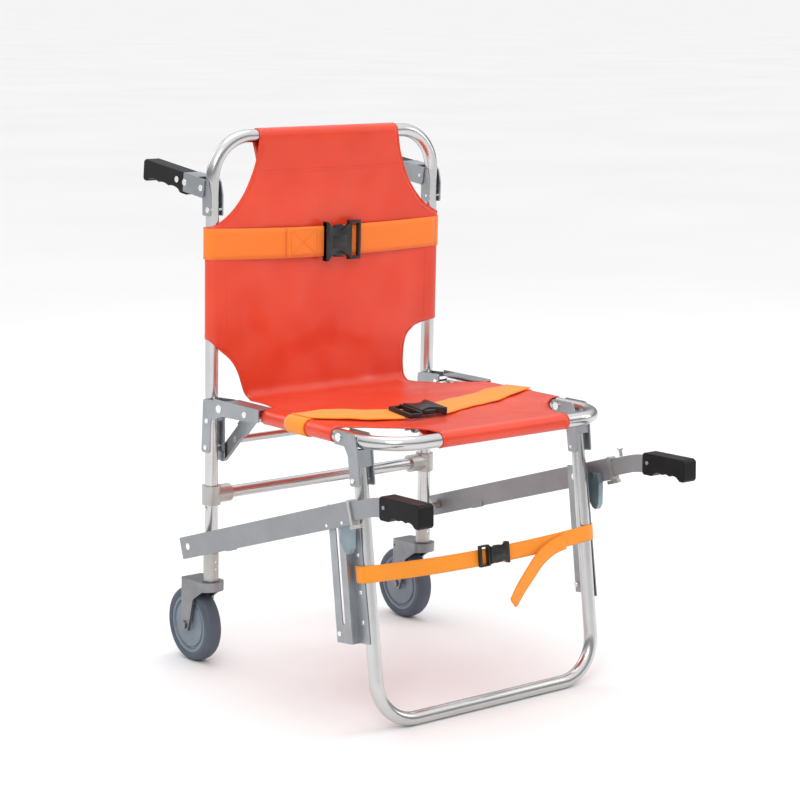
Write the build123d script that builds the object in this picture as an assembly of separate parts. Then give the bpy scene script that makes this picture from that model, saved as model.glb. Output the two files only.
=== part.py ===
from build123d import *
import os
from math import atan, cos, degrees, radians, sin

# A folding stair chair: two swivel casters behind, a U-shaped front leg, one continuous fabric
# cover, carrying bars along both sides and folding handles at the top.
# Millimetres. The model is built with X across the chair (+X is the occupant's left), -Y ahead,
# Z up and the floor at z = 0. The back frame and what it carries are drawn with the rear tubes
# upright in the plane y = 0, and lean() then tips them a little forward. On export everything
# moves back by FOOTPRINT_SHIFT, so that the origin is the middle of the footprint.

FOOTPRINT_SHIFT = 219.55
LEAN, LEAN_Z = 1.5, 330.0

# Tubes
TUBE_R = 11.0
TUBE_WALL = 1.5
BEND_R = 69.0

# Back frame
REAR_X = 226.0
BACK_TOP_Z = 882.0
BACK_FOOT_Z = 153.0
CROSSBAR_Z = 294.0
CROSSBAR_R = 10.0
CLAMP_R = 15.5
CLAMP_HEIGHT = 32.0

# Seat frame
SEAT_X = 224.0
SEAT_Z = 448.0
SEAT_REAR_Y = -75.0
SEAT_FRONT_Y = -472.0
PIVOT_Y, PIVOT_Z = -48.0, 446.5
CHANNEL_REAR_Y, CHANNEL_FRONT_Y = -34.0, -160.0
GUSSET_Y, GUSSET_Z = -366.0, 449.0

# Struts between the seat channels and the guides on the rear tubes
STRUT_TOP = (-97.0, 446.0)
STRUT_FOOT = (-1.0, 358.0)
STRUT_WIDTH = 20.0
STRUT_X = (199.0, 206.0)
RELEASE_BAR_R = 6.3
RELEASE_BAR_SHARE, RELEASE_BAR_DROP = 0.53, 9.0

# Front leg: a tube bent to a U, raked forward towards the floor
LEG_X = 222.0
LEG_TOP_Z = 433.0
LEG_REF = (-404.0, 372.0)
LEG_RAKE = 33.0 / 266.0
LEG_FLOOR_Z = TUBE_R

# Slotted brackets behind the front leg
SLOT_BACK = 36.0
SLOT_WIDTH = 7.0
SLOT_TOP_Z, SLOT_LOW_Z = 336.0, 168.0
BRACKET_TOP_Z, BRACKET_LOW_Z = 350.0, 139.0
BRACKET_REAR = 56.0
FLANGE_X = 246.0

# Carrying bars
BAR_X = (260.0, 272.0)
BAR_PIVOT_Z = 212.0
BAR_SLOPE = 17.4
BAR_HEIGHT = 36.0
BAR_REAR = -24.0
BAR_FRONT = 458.0
SHEET = 2.0

# Telescoping front handles
INNER_HEIGHT = 28.0
INNER_X = (262.3, 269.6)
FRONT_GRIP_LENGTH, TOP_GRIP_LENGTH = 94.0, 133.0
GRIP_SLOPE = 1.0
GRIP_RISE = 5.5
GRIP_WIDTH, GRIP_HEIGHT = 28.0, 31.0

# Top handles
HANDLE_X = 226.0
HANDLE_PIVOT = (10.3, 801.2)
HANDLE_SLOPE = 5.6
HANDLE_HEIGHT = 31.0

# Casters
AXLE_Y, AXLE_Z, WHEEL_R = 48.0, 62.15, 63.5
WHEEL_WIDTH = 30.0
FORK_TOP_Z = 147.4
FORK_HALF = 21.5
SLEEVE_R, SLEEVE_TOP_Z, SLEEVE_LOW_Z = 12.7, 196.0, 148.0
STEM_R = 6.0

# Fabric and webbing
SLEEVE_GAP = 0.3
FABRIC = 1.7
COVER_TOP_HALF = 142.0
COVER_WIDE_TOP_Z, COVER_WIDE_LOW_Z = 738.0, 548.0
COVER_WAIST_HALF, COVER_WAIST_Z = 165.0, 470.0
SEAT_COVER_REAR_Y = -60.0
SEAT_WRAP_REAR_Y, SEAT_WRAP_FRONT_Y = -168.0, -346.0
SEAT_FRONT_HALF = 128.0
WEB = 1.6
CHEST_STRAP_Z, WIDE_WEB = 706.0, 50.0
LAP_BUCKLE = (-60.0, -336.0)
LAP_LOOP_Y = -250.0
LEG_STRAP_Z, NARROW_WEB = 245.0, 26.0

# Fits
RUN = 0.05

SIDES = ((1, "left"), (-1, "right"))


def save(name, shape):
    """Write one node, moved to the middle of the footprint."""
    solids = [part.moved(Location((0, FOOTPRINT_SHIFT, 0))) for part in shape.solids()]
    node = solids[0] if len(solids) == 1 else Compound(children=solids)
    export_step(node, os.path.join("parts", name + ".step"))


def lean(shape):
    """Tip a piece of the back frame forward."""
    return shape.rotate(Axis((0, 0, LEAN_Z), (1, 0, 0)), LEAN)


def turn_point(y, z, angle):
    """The (y, z) of a point turned about the line that the back frame leans about."""
    turn = radians(angle)
    rise = z - LEAN_Z
    return (y * cos(turn) - rise * sin(turn), LEAN_Z + y * sin(turn) + rise * cos(turn))


def on_side(shape, side):
    """A piece modelled on the +X side, or its mirror image on the -X side."""
    return shape if side > 0 else mirror(shape, about=Plane.YZ)


def both(shape):
    """The piece and its mirror image, as separate solids."""
    return Compound(children=[*shape.solids(), *mirror(shape, about=Plane.YZ).solids()])


def side_face(points, corner=0.0):
    """A face in the YZ plane from (y, z) points, with rounded corners."""
    face = make_face(Polyline(*points, close=True))
    if corner:
        face = fillet(face.vertices(), corner)
    return face


def side_plate(points, x_low, x_high, corner=0.0):
    """A plate that lies in the YZ plane between two values of x."""
    return extrude(Plane.YZ.offset(x_low) * side_face(points, corner), amount=x_high - x_low)


def cross_pin(y, z, x_low, x_high, radius):
    """A round bar along X."""
    middle = (x_low + x_high) / 2
    return Pos(middle, y, z) * Rot(0, 90, 0) * Cylinder(radius, x_high - x_low)


def rivet(y, z, x_low, x_high, radius, head=2.0):
    """A pin along X with a domed head at its outer end."""
    shank = cross_pin(y, z, x_low, x_high, radius)
    cap = cross_pin(y, z, x_high, x_high + head, radius * 1.75)
    cap = fillet(cap.edges().filter_by(GeomType.CIRCLE).sort_by(Axis.X)[-1], head * 0.7)
    return shank + cap


def bent_tube(points, bend, radius, wall):
    """A hollow tube along straight runs joined by equal bends."""
    path = FilletPolyline(*points, radius=bend)
    start = Plane(origin=path @ 0, z_dir=path % 0)
    outer = sweep(start * Circle(radius), path=path)
    bore = sweep(start * Circle(radius - wall), path=path)
    return outer - bore


def along(origin, slope, s, t):
    """The (y, z) of a point s ahead of and t above an origin on a line that slopes up ahead."""
    angle = radians(slope)
    y = origin[0] - s * cos(angle) + t * sin(angle)
    z = origin[1] + s * sin(angle) + t * cos(angle)
    return (y, z)


def leg_y(z):
    """The y of the front leg's axis at a height."""
    return LEG_REF[0] - (LEG_REF[1] - z) * LEG_RAKE


# ---------------------------------------------------------------- back frame


def back_frame_tube():
    points = (
        (-REAR_X, 0, BACK_FOOT_Z),
        (-REAR_X, 0, BACK_TOP_Z),
        (REAR_X, 0, BACK_TOP_Z),
        (REAR_X, 0, BACK_FOOT_Z),
    )
    return bent_tube(points, BEND_R, TUBE_R, TUBE_WALL)


def rear_crossbar():
    half = REAR_X - TUBE_R - 0.5
    tube = cross_pin(0, CROSSBAR_Z, -half, half, CROSSBAR_R)
    return tube - cross_pin(0, CROSSBAR_Z, -half, half, CROSSBAR_R - TUBE_WALL)


def crossbar_clamp():
    """A cast tee: a collar round the rear tube and a socket for the crossbar."""
    inner_end = REAR_X - 35
    collar = Pos(REAR_X, 0, CROSSBAR_Z) * Cylinder(CLAMP_R, CLAMP_HEIGHT)
    socket = cross_pin(0, CROSSBAR_Z, inner_end, REAR_X, CLAMP_R - 0.5)
    body = collar + socket
    body -= Pos(REAR_X, 0, CROSSBAR_Z) * Cylinder(TUBE_R + RUN, CLAMP_HEIGHT + 2)
    return body - cross_pin(0, CROSSBAR_Z, inner_end - 1, REAR_X - TUBE_R, CROSSBAR_R + RUN)


HINGE_OUT = (237.3, 239.5)
HINGE_IN = (211.0, 213.4)
HINGE_OUTLINE = (
    (10.0, 367.0),
    (5.0, 456.0),
    (-52.0, 461.0),
    (-53.0, 436.0),
    (-17.0, 424.0),
    (-13.0, 367.0),
)
HINGE_RIVETS = ((-6.0, 421.0), (-2.6, 376.0))
HINGE_PIN_R = 4.0


def seat_hinge_bracket():
    """Two plates riveted to the sides of the rear tube, with ears that hold the seat pivot."""
    bracket = side_plate(HINGE_OUTLINE, *HINGE_OUT, corner=5)
    bracket += side_plate(HINGE_OUTLINE, *HINGE_IN, corner=5)
    bracket -= cross_pin(*turn_point(PIVOT_Y, PIVOT_Z, -LEAN), 200, 250, HINGE_PIN_R + RUN)
    for y, z in HINGE_RIVETS:
        bracket -= cross_pin(y, z, 200, 250, 2.5)
    return bracket


GUIDE_X = (191.0, 210.9)


def strut_guide():
    """An upright channel on the hinge bracket, open ahead, that takes the strut's lower pin."""
    height = 76.0
    middle_z = 389.0
    web = Pos(GUIDE_X[1] - 1, 0, middle_z) * Box(2, 28, height)
    rear = Pos((GUIDE_X[0] + GUIDE_X[1]) / 2, 13, middle_z) * Box(GUIDE_X[1] - GUIDE_X[0], 2, height)
    guide = web + rear
    for y, z in HINGE_RIVETS:
        guide -= cross_pin(y, z, 180, 220, 2.5)
    return guide


BRACKET_RIVET = (-6.0, 767.0)


def top_handle_bracket():
    """Two cheeks riveted to the sides of the rear tube, with ears that hold the handle's pivot."""
    outline = ((-12, 757), (9.5, 757), (9.5, 784), (18, 789), (18, 812), (2, 816), (-6, 812), (-12, 790))
    bracket = side_plate(outline, 237.1, 239.3, corner=3) + side_plate(outline, 212.7, 214.9, corner=3)
    bracket -= cross_pin(*HANDLE_PIVOT, 205, 245, 3.0 + RUN)
    return bracket - cross_pin(*BRACKET_RIVET, 205, 245, 2.5)


def caster_sleeve():
    """A cup on the foot of the rear tube, with a bore in its floor for the swivel stem."""
    height = SLEEVE_TOP_Z - SLEEVE_LOW_Z
    cup = Pos(REAR_X, 0, SLEEVE_LOW_Z + height / 2) * Cylinder(SLEEVE_R, height)
    cup = chamfer(cup.edges().filter_by(GeomType.CIRCLE).sort_by(Axis.Z)[-1], 0.8)
    cup -= Pos(REAR_X, 0, BACK_FOOT_Z + height / 2 - 1) * Cylinder(TUBE_R + RUN, height)
    cup -= Pos(REAR_X, 0, SLEEVE_LOW_Z) * Cylinder(STEM_R + RUN, 40)
    return cup


PIVOT_BOLT_R, PIVOT_HEAD_R = 4.0, 5.6


def countersink(y, z, x_high, clearance=0.0):
    """The cone of a countersunk head along X, flush at its outer end."""
    depth = PIVOT_HEAD_R - PIVOT_BOLT_R
    cone = Cone(PIVOT_BOLT_R + clearance, PIVOT_HEAD_R + clearance, depth)
    return Pos(x_high - depth / 2, y, z) * Rot(0, 90, 0) * cone


def bar_pivot_bolt():
    """The bolt that carries a side bar: through the rear tube, countersunk in the bar."""
    bolt = cross_pin(0, BAR_PIVOT_Z, REAR_X - TUBE_R - 4, BAR_X[1], PIVOT_BOLT_R)
    head = cross_pin(0, BAR_PIVOT_Z, REAR_X - TUBE_R - 8, REAR_X - TUBE_R - 3, 6.5)
    return bolt + head + countersink(0, BAR_PIVOT_Z, BAR_X[1])


def bar_pivot_spacer():
    """A ribbed spacer that keeps the side bar clear of the rear tube."""
    low, high = REAR_X + TUBE_R - 0.6, BAR_X[0] - 0.4
    spacer = cross_pin(0, BAR_PIVOT_Z, low, high, 7.0)
    for step in range(4):
        x = high - 3.5 - 3.6 * step
        spacer += cross_pin(0, BAR_PIVOT_Z, x - 0.9, x + 0.9, 8.4)
    spacer -= cross_pin(0, BAR_PIVOT_Z, low - 1, high + 1, PIVOT_BOLT_R)
    return spacer - Pos(REAR_X, 0, BAR_PIVOT_Z) * Cylinder(TUBE_R, 40)


def frame_rivets():
    """Rivets of the hinge and handle brackets, and the clamp and sleeve screws, on one side."""
    rivets = [rivet(y, z, GUIDE_X[1] - 2, HINGE_OUT[1], 2.5) for y, z in HINGE_RIVETS]
    rivets.append(rivet(*BRACKET_RIVET, 211.5, 239.3, 2.5))
    rivets.append(rivet(0, CROSSBAR_Z - 22, REAR_X + 4, REAR_X + TUBE_R, 2.0))
    for z in (182.0, 169.0):
        screw = Pos(REAR_X, -SLEEVE_R + 1.2, z) * Rot(90, 0, 0) * Cylinder(1.8, 4.4)
        rivets.append(screw)
    return Compound(children=rivets)


# ---------------------------------------------------------------- cover and straps


def ring_x(x_low, x_high, y, z):
    """A fabric sleeve round a tube along X."""
    outer = cross_pin(y, z, x_low, x_high, TUBE_R + SLEEVE_GAP + FABRIC)
    return outer - cross_pin(y, z, x_low - 1, x_high + 1, TUBE_R + SLEEVE_GAP)


def upright_sleeve(length):
    """A fabric sleeve round an upright tube."""
    outer = Cylinder(TUBE_R + SLEEVE_GAP + FABRIC, length)
    return outer - Cylinder(TUBE_R + SLEEVE_GAP, length + 2)


def back_panel():
    """The cover's back: a sheet across the front of the frame with sleeves on its edges."""
    half = [
        (0, BACK_TOP_Z),
        (COVER_TOP_HALF, BACK_TOP_Z),
        (COVER_TOP_HALF + 4, 838),
        (165, 790),
        (198, 754),
        (REAR_X, COVER_WIDE_TOP_Z),
        (REAR_X, COVER_WIDE_LOW_Z),
        (200, 530),
        (178, 500),
        (COVER_WAIST_HALF, COVER_WAIST_Z),
        (0, COVER_WAIST_Z),
    ]
    outline = half + [(-x, z) for x, z in reversed(half[1:-1])]
    front = -(TUBE_R + SLEEVE_GAP)
    sheet = extrude(Plane.XZ.offset(-front) * make_face(Polyline(*outline, close=True)), amount=FABRIC)
    height = COVER_WIDE_TOP_Z - COVER_WIDE_LOW_Z
    middle = (COVER_WIDE_TOP_Z + COVER_WIDE_LOW_Z) / 2
    panel = sheet + ring_x(-COVER_TOP_HALF, COVER_TOP_HALF, 0, BACK_TOP_Z)
    for side in (1, -1):
        panel += Pos(side * REAR_X, 0, middle) * upright_sleeve(height)
    return panel


def seat_panel():
    """The cover's seat: a sheet over the rails with sleeves on the rails and the front bow."""
    half = [
        (0, SEAT_COVER_REAR_Y),
        (COVER_WAIST_HALF, SEAT_COVER_REAR_Y),
        (190, SEAT_WRAP_REAR_Y + 16),
        (SEAT_X, SEAT_WRAP_REAR_Y),
        (SEAT_X, SEAT_WRAP_FRONT_Y),
        (203, SEAT_WRAP_FRONT_Y - 1),
        (198, -388),
        (168, -436),
        (SEAT_FRONT_HALF, -450),
        (SEAT_FRONT_HALF, SEAT_FRONT_Y),
        (0, SEAT_FRONT_Y),
    ]
    outline = half + [(-x, y) for x, y in reversed(half[1:-1])]
    level = SEAT_Z + TUBE_R + SLEEVE_GAP
    sheet = extrude(Plane.XY.offset(level) * make_face(Polyline(*outline, close=True)), amount=FABRIC)
    panel = sheet + ring_x(-SEAT_FRONT_HALF, SEAT_FRONT_HALF, SEAT_FRONT_Y, SEAT_Z)
    length = SEAT_WRAP_REAR_Y - SEAT_WRAP_FRONT_Y
    middle = (SEAT_WRAP_REAR_Y + SEAT_WRAP_FRONT_Y) / 2
    for side in (1, -1):
        panel += Pos(side * SEAT_X, middle, SEAT_Z) * Rot(90, 0, 0) * upright_sleeve(length)
    return panel


def webbing_loop(half_x, radius):
    """The section of a webbing loop round two parallel tubes."""
    inner = SlotCenterToCenter(2 * half_x, 2 * radius)
    return SlotCenterToCenter(2 * half_x, 2 * (radius + WEB)) - inner


COVER_R = TUBE_R + SLEEVE_GAP + FABRIC + 0.1


def chest_strap():
    """A loop of webbing round both rear tubes."""
    low = Plane.XY.offset(CHEST_STRAP_Z - WIDE_WEB / 2)
    return extrude(low * webbing_loop(REAR_X, COVER_R), amount=WIDE_WEB)


def lap_strap():
    """Webbing looped round each rail, with a run from each loop to the buckle."""
    level = SEAT_Z + COVER_R
    half = WIDE_WEB / 2
    buckle_x, buckle_y = LAP_BUCKLE
    pieces = []
    for side in (1, -1):
        loop = Cylinder(COVER_R + WEB, WIDE_WEB) - Cylinder(COVER_R, WIDE_WEB + 2)
        loop = Pos(side * SEAT_X, LAP_LOOP_Y, SEAT_Z) * Rot(90, 0, 0) * loop
        loop -= Pos(side * (SEAT_X - 15), LAP_LOOP_Y, SEAT_Z + 15) * Box(30, WIDE_WEB + 2, 30)
        end_x = buckle_x + side * 38
        corners = (
            (side * SEAT_X, LAP_LOOP_Y + half),
            (side * SEAT_X, LAP_LOOP_Y - half),
            (end_x, buckle_y - half),
            (end_x, buckle_y + half),
        )
        run = extrude(Plane.XY.offset(level) * make_face(Polyline(*corners, close=True)), amount=WEB)
        pieces += (loop + run).solids()
    return Compound(children=pieces)


def buckle(length, width, height):
    """A side-release buckle lying flat along X, as (socket, insert) meeting face to face."""
    socket_length = 0.58 * length
    socket = Box(socket_length, width, height)
    socket = fillet(socket.edges().filter_by(Axis.Z), width * 0.18)
    socket = fillet(socket.faces().sort_by(Axis.Z)[-1].edges(), height * 0.25)
    for side in (1, -1):
        window = Pos(-socket_length * 0.02, side * width / 2, 0)
        socket -= window * Box(socket_length * 0.42, width * 0.16, height * 0.6)
    insert = Box(length - socket_length, width * 0.86, height * 0.8)
    insert = fillet(insert.edges().filter_by(Axis.Z), width * 0.14)
    insert -= Pos(-(length - socket_length) * 0.18, 0, 0) * Box(3, width * 0.6, height)
    insert = fillet(insert.faces().sort_by(Axis.Z)[-1].edges().filter_by(GeomType.LINE), height * 0.12)
    socket = Pos((length - socket_length) / 2, 0, height / 2) * socket
    insert = Pos(-socket_length / 2, 0, height * 0.4) * insert
    return Compound(children=[*socket.solids(), *insert.solids()])


def chest_buckle():
    face_y = -(COVER_R + WEB)
    return Pos(22, face_y, CHEST_STRAP_Z) * Rot(90, 0, 0) * buckle(74, 62, 13)


def lap_buckle():
    face_z = SEAT_Z + COVER_R + WEB
    return Pos(*LAP_BUCKLE, face_z) * Rot(0, 0, 180) * buckle(74, 56, 13)


def leg_plane():
    """A plane across the front leg at the strap, normal to the leg's axis."""
    down = Vector(0, -LEG_RAKE, -1).normalized()
    return Plane(origin=(0, leg_y(LEG_STRAP_Z), LEG_STRAP_Z), x_dir=(1, 0, 0), z_dir=-down)


def leg_strap():
    """Webbing across the fronts of the legs, with its ends riveted to the brackets outside."""
    front = -(TUBE_R + 0.3)
    outer_x = LEG_X + TUBE_R + SHEET + 0.9
    run = Pos(0, front - WEB / 2) * Rectangle(2 * outer_x - 8, WEB)
    for side in (1, -1):
        corner = Pos(side * (outer_x - 4), front + 4 - WEB)
        run += corner * Pos(side * (2 + WEB / 2), 0) * Rectangle(4 + WEB, 8)
        end_length = 14
        end = Pos(side * (outer_x + WEB / 2), front + 8 - WEB + end_length / 2 - 0.5)
        run += end * Rectangle(WEB, end_length)
    for side in (1, -1):
        clear = Pos(side * (outer_x - 4), front + 4) * Circle(4)
        run -= clear
        run -= Pos(side * (outer_x - 4), front + 6) * Rectangle(8, 4)
    plane = leg_plane()
    band = extrude(plane.offset(-NARROW_WEB / 2) * run, amount=NARROW_WEB)
    return band


def leg_buckle():
    plane = leg_plane()
    spot = Plane(
        origin=plane.from_local_coords((13, -(TUBE_R + 0.3 + WEB), -6)),
        x_dir=(1, 0, 0),
        z_dir=plane.from_local_coords((0, -1, 0)) - plane.origin,
    )
    return spot.location * buckle(66, 34, 11)


# ---------------------------------------------------------------- seat frame


def seat_frame_tube():
    points = (
        (-SEAT_X, SEAT_REAR_Y, SEAT_Z),
        (-SEAT_X, SEAT_FRONT_Y, SEAT_Z),
        (SEAT_X, SEAT_FRONT_Y, SEAT_Z),
        (SEAT_X, SEAT_REAR_Y, SEAT_Z),
    )
    tube = bent_tube(points, BEND_R, TUBE_R, TUBE_WALL)
    for y, z, radius in ((*STRUT_TOP, 3.5), (*CHANNEL_RIVET, 3.0), (GUSSET_Y, GUSSET_Z, 4.0)):
        tube -= cross_pin(y, z, -260, 260, radius)
    return tube


CHANNEL_X = (239.8, 242.0)
FLANGE_CUT = 31.0
CHANNEL_RIVET = (-121.0, 447.5)


def seat_channel():
    """An angle over the rail's rear end that carries the seat pivot outside the hinge plate."""
    length = CHANNEL_REAR_Y - CHANNEL_FRONT_Y
    middle = (CHANNEL_REAR_Y + CHANNEL_FRONT_Y) / 2
    web = side_plate(
        (
            (CHANNEL_REAR_Y, 434),
            (CHANNEL_REAR_Y, 461.2),
            (CHANNEL_FRONT_Y, 461.2),
            (CHANNEL_FRONT_Y, 441),
            (CHANNEL_FRONT_Y + 8, 438),
        ),
        *CHANNEL_X,
    )
    flange_low, flange_z = 214.0, 460.2
    width = CHANNEL_X[1] - flange_low
    flange = Pos(flange_low + width / 2, middle, flange_z) * Box(width, length, 2)
    channel = web + flange
    channel -= Pos(SEAT_X, CHANNEL_REAR_Y, flange_z) * Box(33, 2 * FLANGE_CUT, 4)
    channel -= cross_pin(PIVOT_Y, PIVOT_Z, 200, 250, HINGE_PIN_R)
    return channel - cross_pin(*CHANNEL_RIVET, 200, 250, 3.0)


def seat_pins():
    """The seat pivot with its bush, the channel's rivet, the strut's pin and the gusset's pin."""
    pivot = rivet(PIVOT_Y, PIVOT_Z, HINGE_IN[0] - 2, CHANNEL_X[1], HINGE_PIN_R)
    pivot += cross_pin(PIVOT_Y, PIVOT_Z, HINGE_IN[1] + 0.5, HINGE_OUT[0] - 0.3, 7)
    channel = rivet(*CHANNEL_RIVET, SEAT_X - TUBE_R - 1.5, CHANNEL_X[1], 3.0)
    channel += cross_pin(*CHANNEL_RIVET, SEAT_X + TUBE_R, CHANNEL_X[0], 5)
    strut = cross_pin(*STRUT_TOP, STRUT_X[0] - 1.5, SEAT_X + TUBE_R + 1.5, 3.5)
    strut += cross_pin(*STRUT_TOP, STRUT_X[0] - 3, STRUT_X[0] - 0.4, 6)
    gusset = rivet(GUSSET_Y, GUSSET_Z, EAR_IN[0] - 1, EAR_OUT[1] + 0.4, 4.0)
    gusset += cross_pin(GUSSET_Y, GUSSET_Z, EAR_IN[0] - 2.6, EAR_IN[0] - 0.4, 6.5)
    pins = [*pivot.solids(), *channel.solids(), *strut.solids(), *gusset.solids()]
    return Compound(children=pins)


# ---------------------------------------------------------------- struts


def strut_axis(share, inset=0.0):
    """A point on the strut's axis, at a share of the way down."""
    y = STRUT_TOP[0] + share * (STRUT_FOOT[0] - STRUT_TOP[0])
    z = STRUT_TOP[1] + share * (STRUT_FOOT[1] - STRUT_TOP[1]) + inset
    return (y, z)


def release_bar(x_low, x_high, radius):
    """A round bar along X at the release bar's place, under the strut's axis."""
    y, z = strut_axis(RELEASE_BAR_SHARE)
    return cross_pin(y + 0.4 * RELEASE_BAR_DROP, z - 0.9 * RELEASE_BAR_DROP, x_low, x_high, radius)


def fold_strut():
    """A pressed channel with round ends, open inboard, and the pin that rides in the guide."""
    run_y = STRUT_FOOT[0] - STRUT_TOP[0]
    run_z = STRUT_FOOT[1] - STRUT_TOP[1]
    length = (run_y**2 + run_z**2) ** 0.5
    slant = degrees(atan(run_z / run_y))
    depth = STRUT_X[1] - STRUT_X[0]
    outline = Plane.YZ.offset(STRUT_X[0]) * Pos(*strut_axis(0.5)) * Rot(0, 0, slant)
    body = extrude(outline * SlotCenterToCenter(length, STRUT_WIDTH), amount=depth)
    sleeve = Plane.YZ.offset(STRUT_X[0]) * Pos(*strut_axis(0.24)) * Rot(0, 0, slant)
    body += extrude(sleeve * Rectangle(0.36 * length, STRUT_WIDTH + 6), amount=depth)
    hollow = extrude(outline * SlotCenterToCenter(length, STRUT_WIDTH - 4), amount=depth - 2)
    strut = body - hollow - release_bar(180, 220, RELEASE_BAR_R)
    strut -= cross_pin(*STRUT_TOP, 180, 220, 3.5 + RUN)
    return strut + cross_pin(*STRUT_FOOT, STRUT_X[1] - 0.5, GUIDE_X[1] - 2.3, 4)


def fold_release_bar():
    """The cross bar that joins the struts, pulled to fold the chair."""
    return release_bar(-STRUT_X[1], STRUT_X[1], RELEASE_BAR_R)


# ---------------------------------------------------------------- front leg


def front_leg_tube():
    low, high = leg_y(LEG_FLOOR_Z), leg_y(LEG_TOP_Z)
    points = (
        (-LEG_X, high, LEG_TOP_Z),
        (-LEG_X, low, LEG_FLOOR_Z),
        (LEG_X, low, LEG_FLOOR_Z),
        (LEG_X, high, LEG_TOP_Z),
    )
    return bent_tube(points, BEND_R, TUBE_R, TUBE_WALL)


EAR_OUT = (235.3, 237.6)
EAR_IN = (206.4, 208.7)
EAR_OUTLINE = (
    (-355, 437),
    (-355, 458.5),
    (-404, 458.5),
    (-412, 437),
    (-418, 380),
    (-396, 378),
    (-389, 424),
    (-380, 437),
)


def leg_bracket():
    """Two ears that hang on the gusset pin and grip the top of the leg, joined by a front web."""
    outer = side_plate(EAR_OUTLINE, *EAR_OUT, corner=3)
    inner = side_plate(EAR_OUTLINE, *EAR_IN, corner=3)
    web_low, web_high = 409.0, 435.0
    front = [(leg_y(z) - TUBE_R - 0.6, z) for z in (web_low, web_high)]
    web = side_plate(
        (*front, (front[1][0] - 2.2, web_high), (front[0][0] - 2.2, web_low)), EAR_IN[0], EAR_OUT[1]
    )
    bracket = outer + inner + web
    bracket -= cross_pin(GUSSET_Y, GUSSET_Z, 200, 250, 4.0 + RUN)
    return bracket - cross_pin(leg_y(387), 387, 200, 250, 2.5)


def beside_leg(z, back):
    """The (y, z) of a point behind the leg's axis by a distance square to the leg."""
    rake = atan(LEG_RAKE)
    return (leg_y(z) + back * cos(rake), z - back * sin(rake))


def slot_bracket():
    """A folded sheet: one flange riveted to the leg, one standing out with the guide slot."""
    top, low = BRACKET_TOP_Z, BRACKET_LOW_Z
    leg_flange_x = LEG_X + TUBE_R + 0.2
    flange = side_plate(
        (beside_leg(top, -4), beside_leg(top, 19), beside_leg(low, 19), beside_leg(low, -8)),
        leg_flange_x,
        leg_flange_x + SHEET,
    )
    corners = ((top, 23), (top, BRACKET_REAR), (low, BRACKET_REAR), (low, 23))
    guide = side_plate([beside_leg(z, back) for z, back in corners], FLANGE_X, FLANGE_X + SHEET)
    shoulder = side_plate(
        (beside_leg(top, 17), beside_leg(top, 19), beside_leg(low, 19), beside_leg(low, 17)),
        leg_flange_x,
        FLANGE_X + SHEET,
    )
    step = side_plate(
        (beside_leg(top, 17), beside_leg(top, 24), beside_leg(low, 24), beside_leg(low, 17)),
        FLANGE_X,
        FLANGE_X + SHEET,
    )
    bracket = flange + shoulder + step + guide
    slot_top, slot_low = beside_leg(SLOT_TOP_Z, SLOT_BACK), beside_leg(SLOT_LOW_Z, SLOT_BACK)
    middle = ((slot_top[0] + slot_low[0]) / 2, (slot_top[1] + slot_low[1]) / 2)
    length = ((slot_top[0] - slot_low[0]) ** 2 + (slot_top[1] - slot_low[1]) ** 2) ** 0.5
    slant = degrees(atan((slot_top[1] - slot_low[1]) / (slot_top[0] - slot_low[0])))
    inner_face = Plane.YZ.offset(FLANGE_X - 1)
    slot = inner_face * Pos(*middle) * Rot(0, 0, slant) * SlotOverall(length, SLOT_WIDTH)
    bracket -= extrude(slot, amount=SHEET + 2)
    for z in LEG_RIVET_Z:
        bracket -= cross_pin(*beside_leg(z, 4), 225, 240, 2.0)
    return bracket - cross_pin(*BRACKET_BOLT, 240, 250, 2.5)


LEG_RIVET_Z = (330.0, 275.0, 218.0, 172.0)
BRACKET_BOLT = beside_leg(BRACKET_LOW_Z + 14, BRACKET_REAR - 8)


def leg_rivets():
    """Rivets of the leg bracket and of the slotted bracket, and the bracket's cross bolt."""
    leg_flange_x = LEG_X + TUBE_R + 0.2 + SHEET
    rivets = [rivet(*beside_leg(z, 4), LEG_X + 7, leg_flange_x, 2.0, head=1.6) for z in LEG_RIVET_Z]
    rivets.append(rivet(leg_y(387), 387, EAR_IN[0] - 1, EAR_OUT[1], 2.5))
    bolt = rivet(*BRACKET_BOLT, FLANGE_X - 7, FLANGE_X + SHEET, 2.5)
    rivets.append(bolt + cross_pin(*BRACKET_BOLT, FLANGE_X - 6, FLANGE_X, 4.5))
    return Compound(children=rivets)


SLOT_PIN = beside_leg(SLOT_TOP_Z - SLOT_WIDTH / 2 - 0.4, SLOT_BACK)
PIN_SPLIT_X = 248.9
PIN_SHOULDER_R = 6.0


def slot_pin():
    """The shouldered pin that slides in the slot, as far out as where the bar's stub meets it."""
    y, z = SLOT_PIN
    pin = cross_pin(y, z, FLANGE_X - 3, PIN_SPLIT_X, SLOT_WIDTH / 2 - 0.1)
    head = cross_pin(y, z, FLANGE_X - 4.5, FLANGE_X - 0.3, PIN_SHOULDER_R)
    shoulder = cross_pin(y, z, FLANGE_X + SHEET + 0.3, PIN_SPLIT_X, PIN_SHOULDER_R)
    return pin + head + shoulder


# ---------------------------------------------------------------- carrying bars

BAR_ORIGIN = (0.0, BAR_PIVOT_Z)


def bar_point(s, t):
    return along(BAR_ORIGIN, BAR_SLOPE, s, t)


def bar_block(s_low, s_high, t_low, t_high, x_low, x_high, corner=0.0):
    """A block in the side bar's own directions."""
    corners = ((s_low, t_low), (s_high, t_low), (s_high, t_high), (s_low, t_high))
    return side_plate([bar_point(s, t) for s, t in corners], x_low, x_high, corner)


LATCH_PIVOT = (-409.5, 335.5)
LATCH_X = (249.2, 258.8)
LATCH_PIN_R = 2.5
BAR_PIVOT = turn_point(0.0, BAR_PIVOT_Z, LEAN)
BAR_RIVETS = ((396.0, -11.8), (436.0, -12.2))


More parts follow.
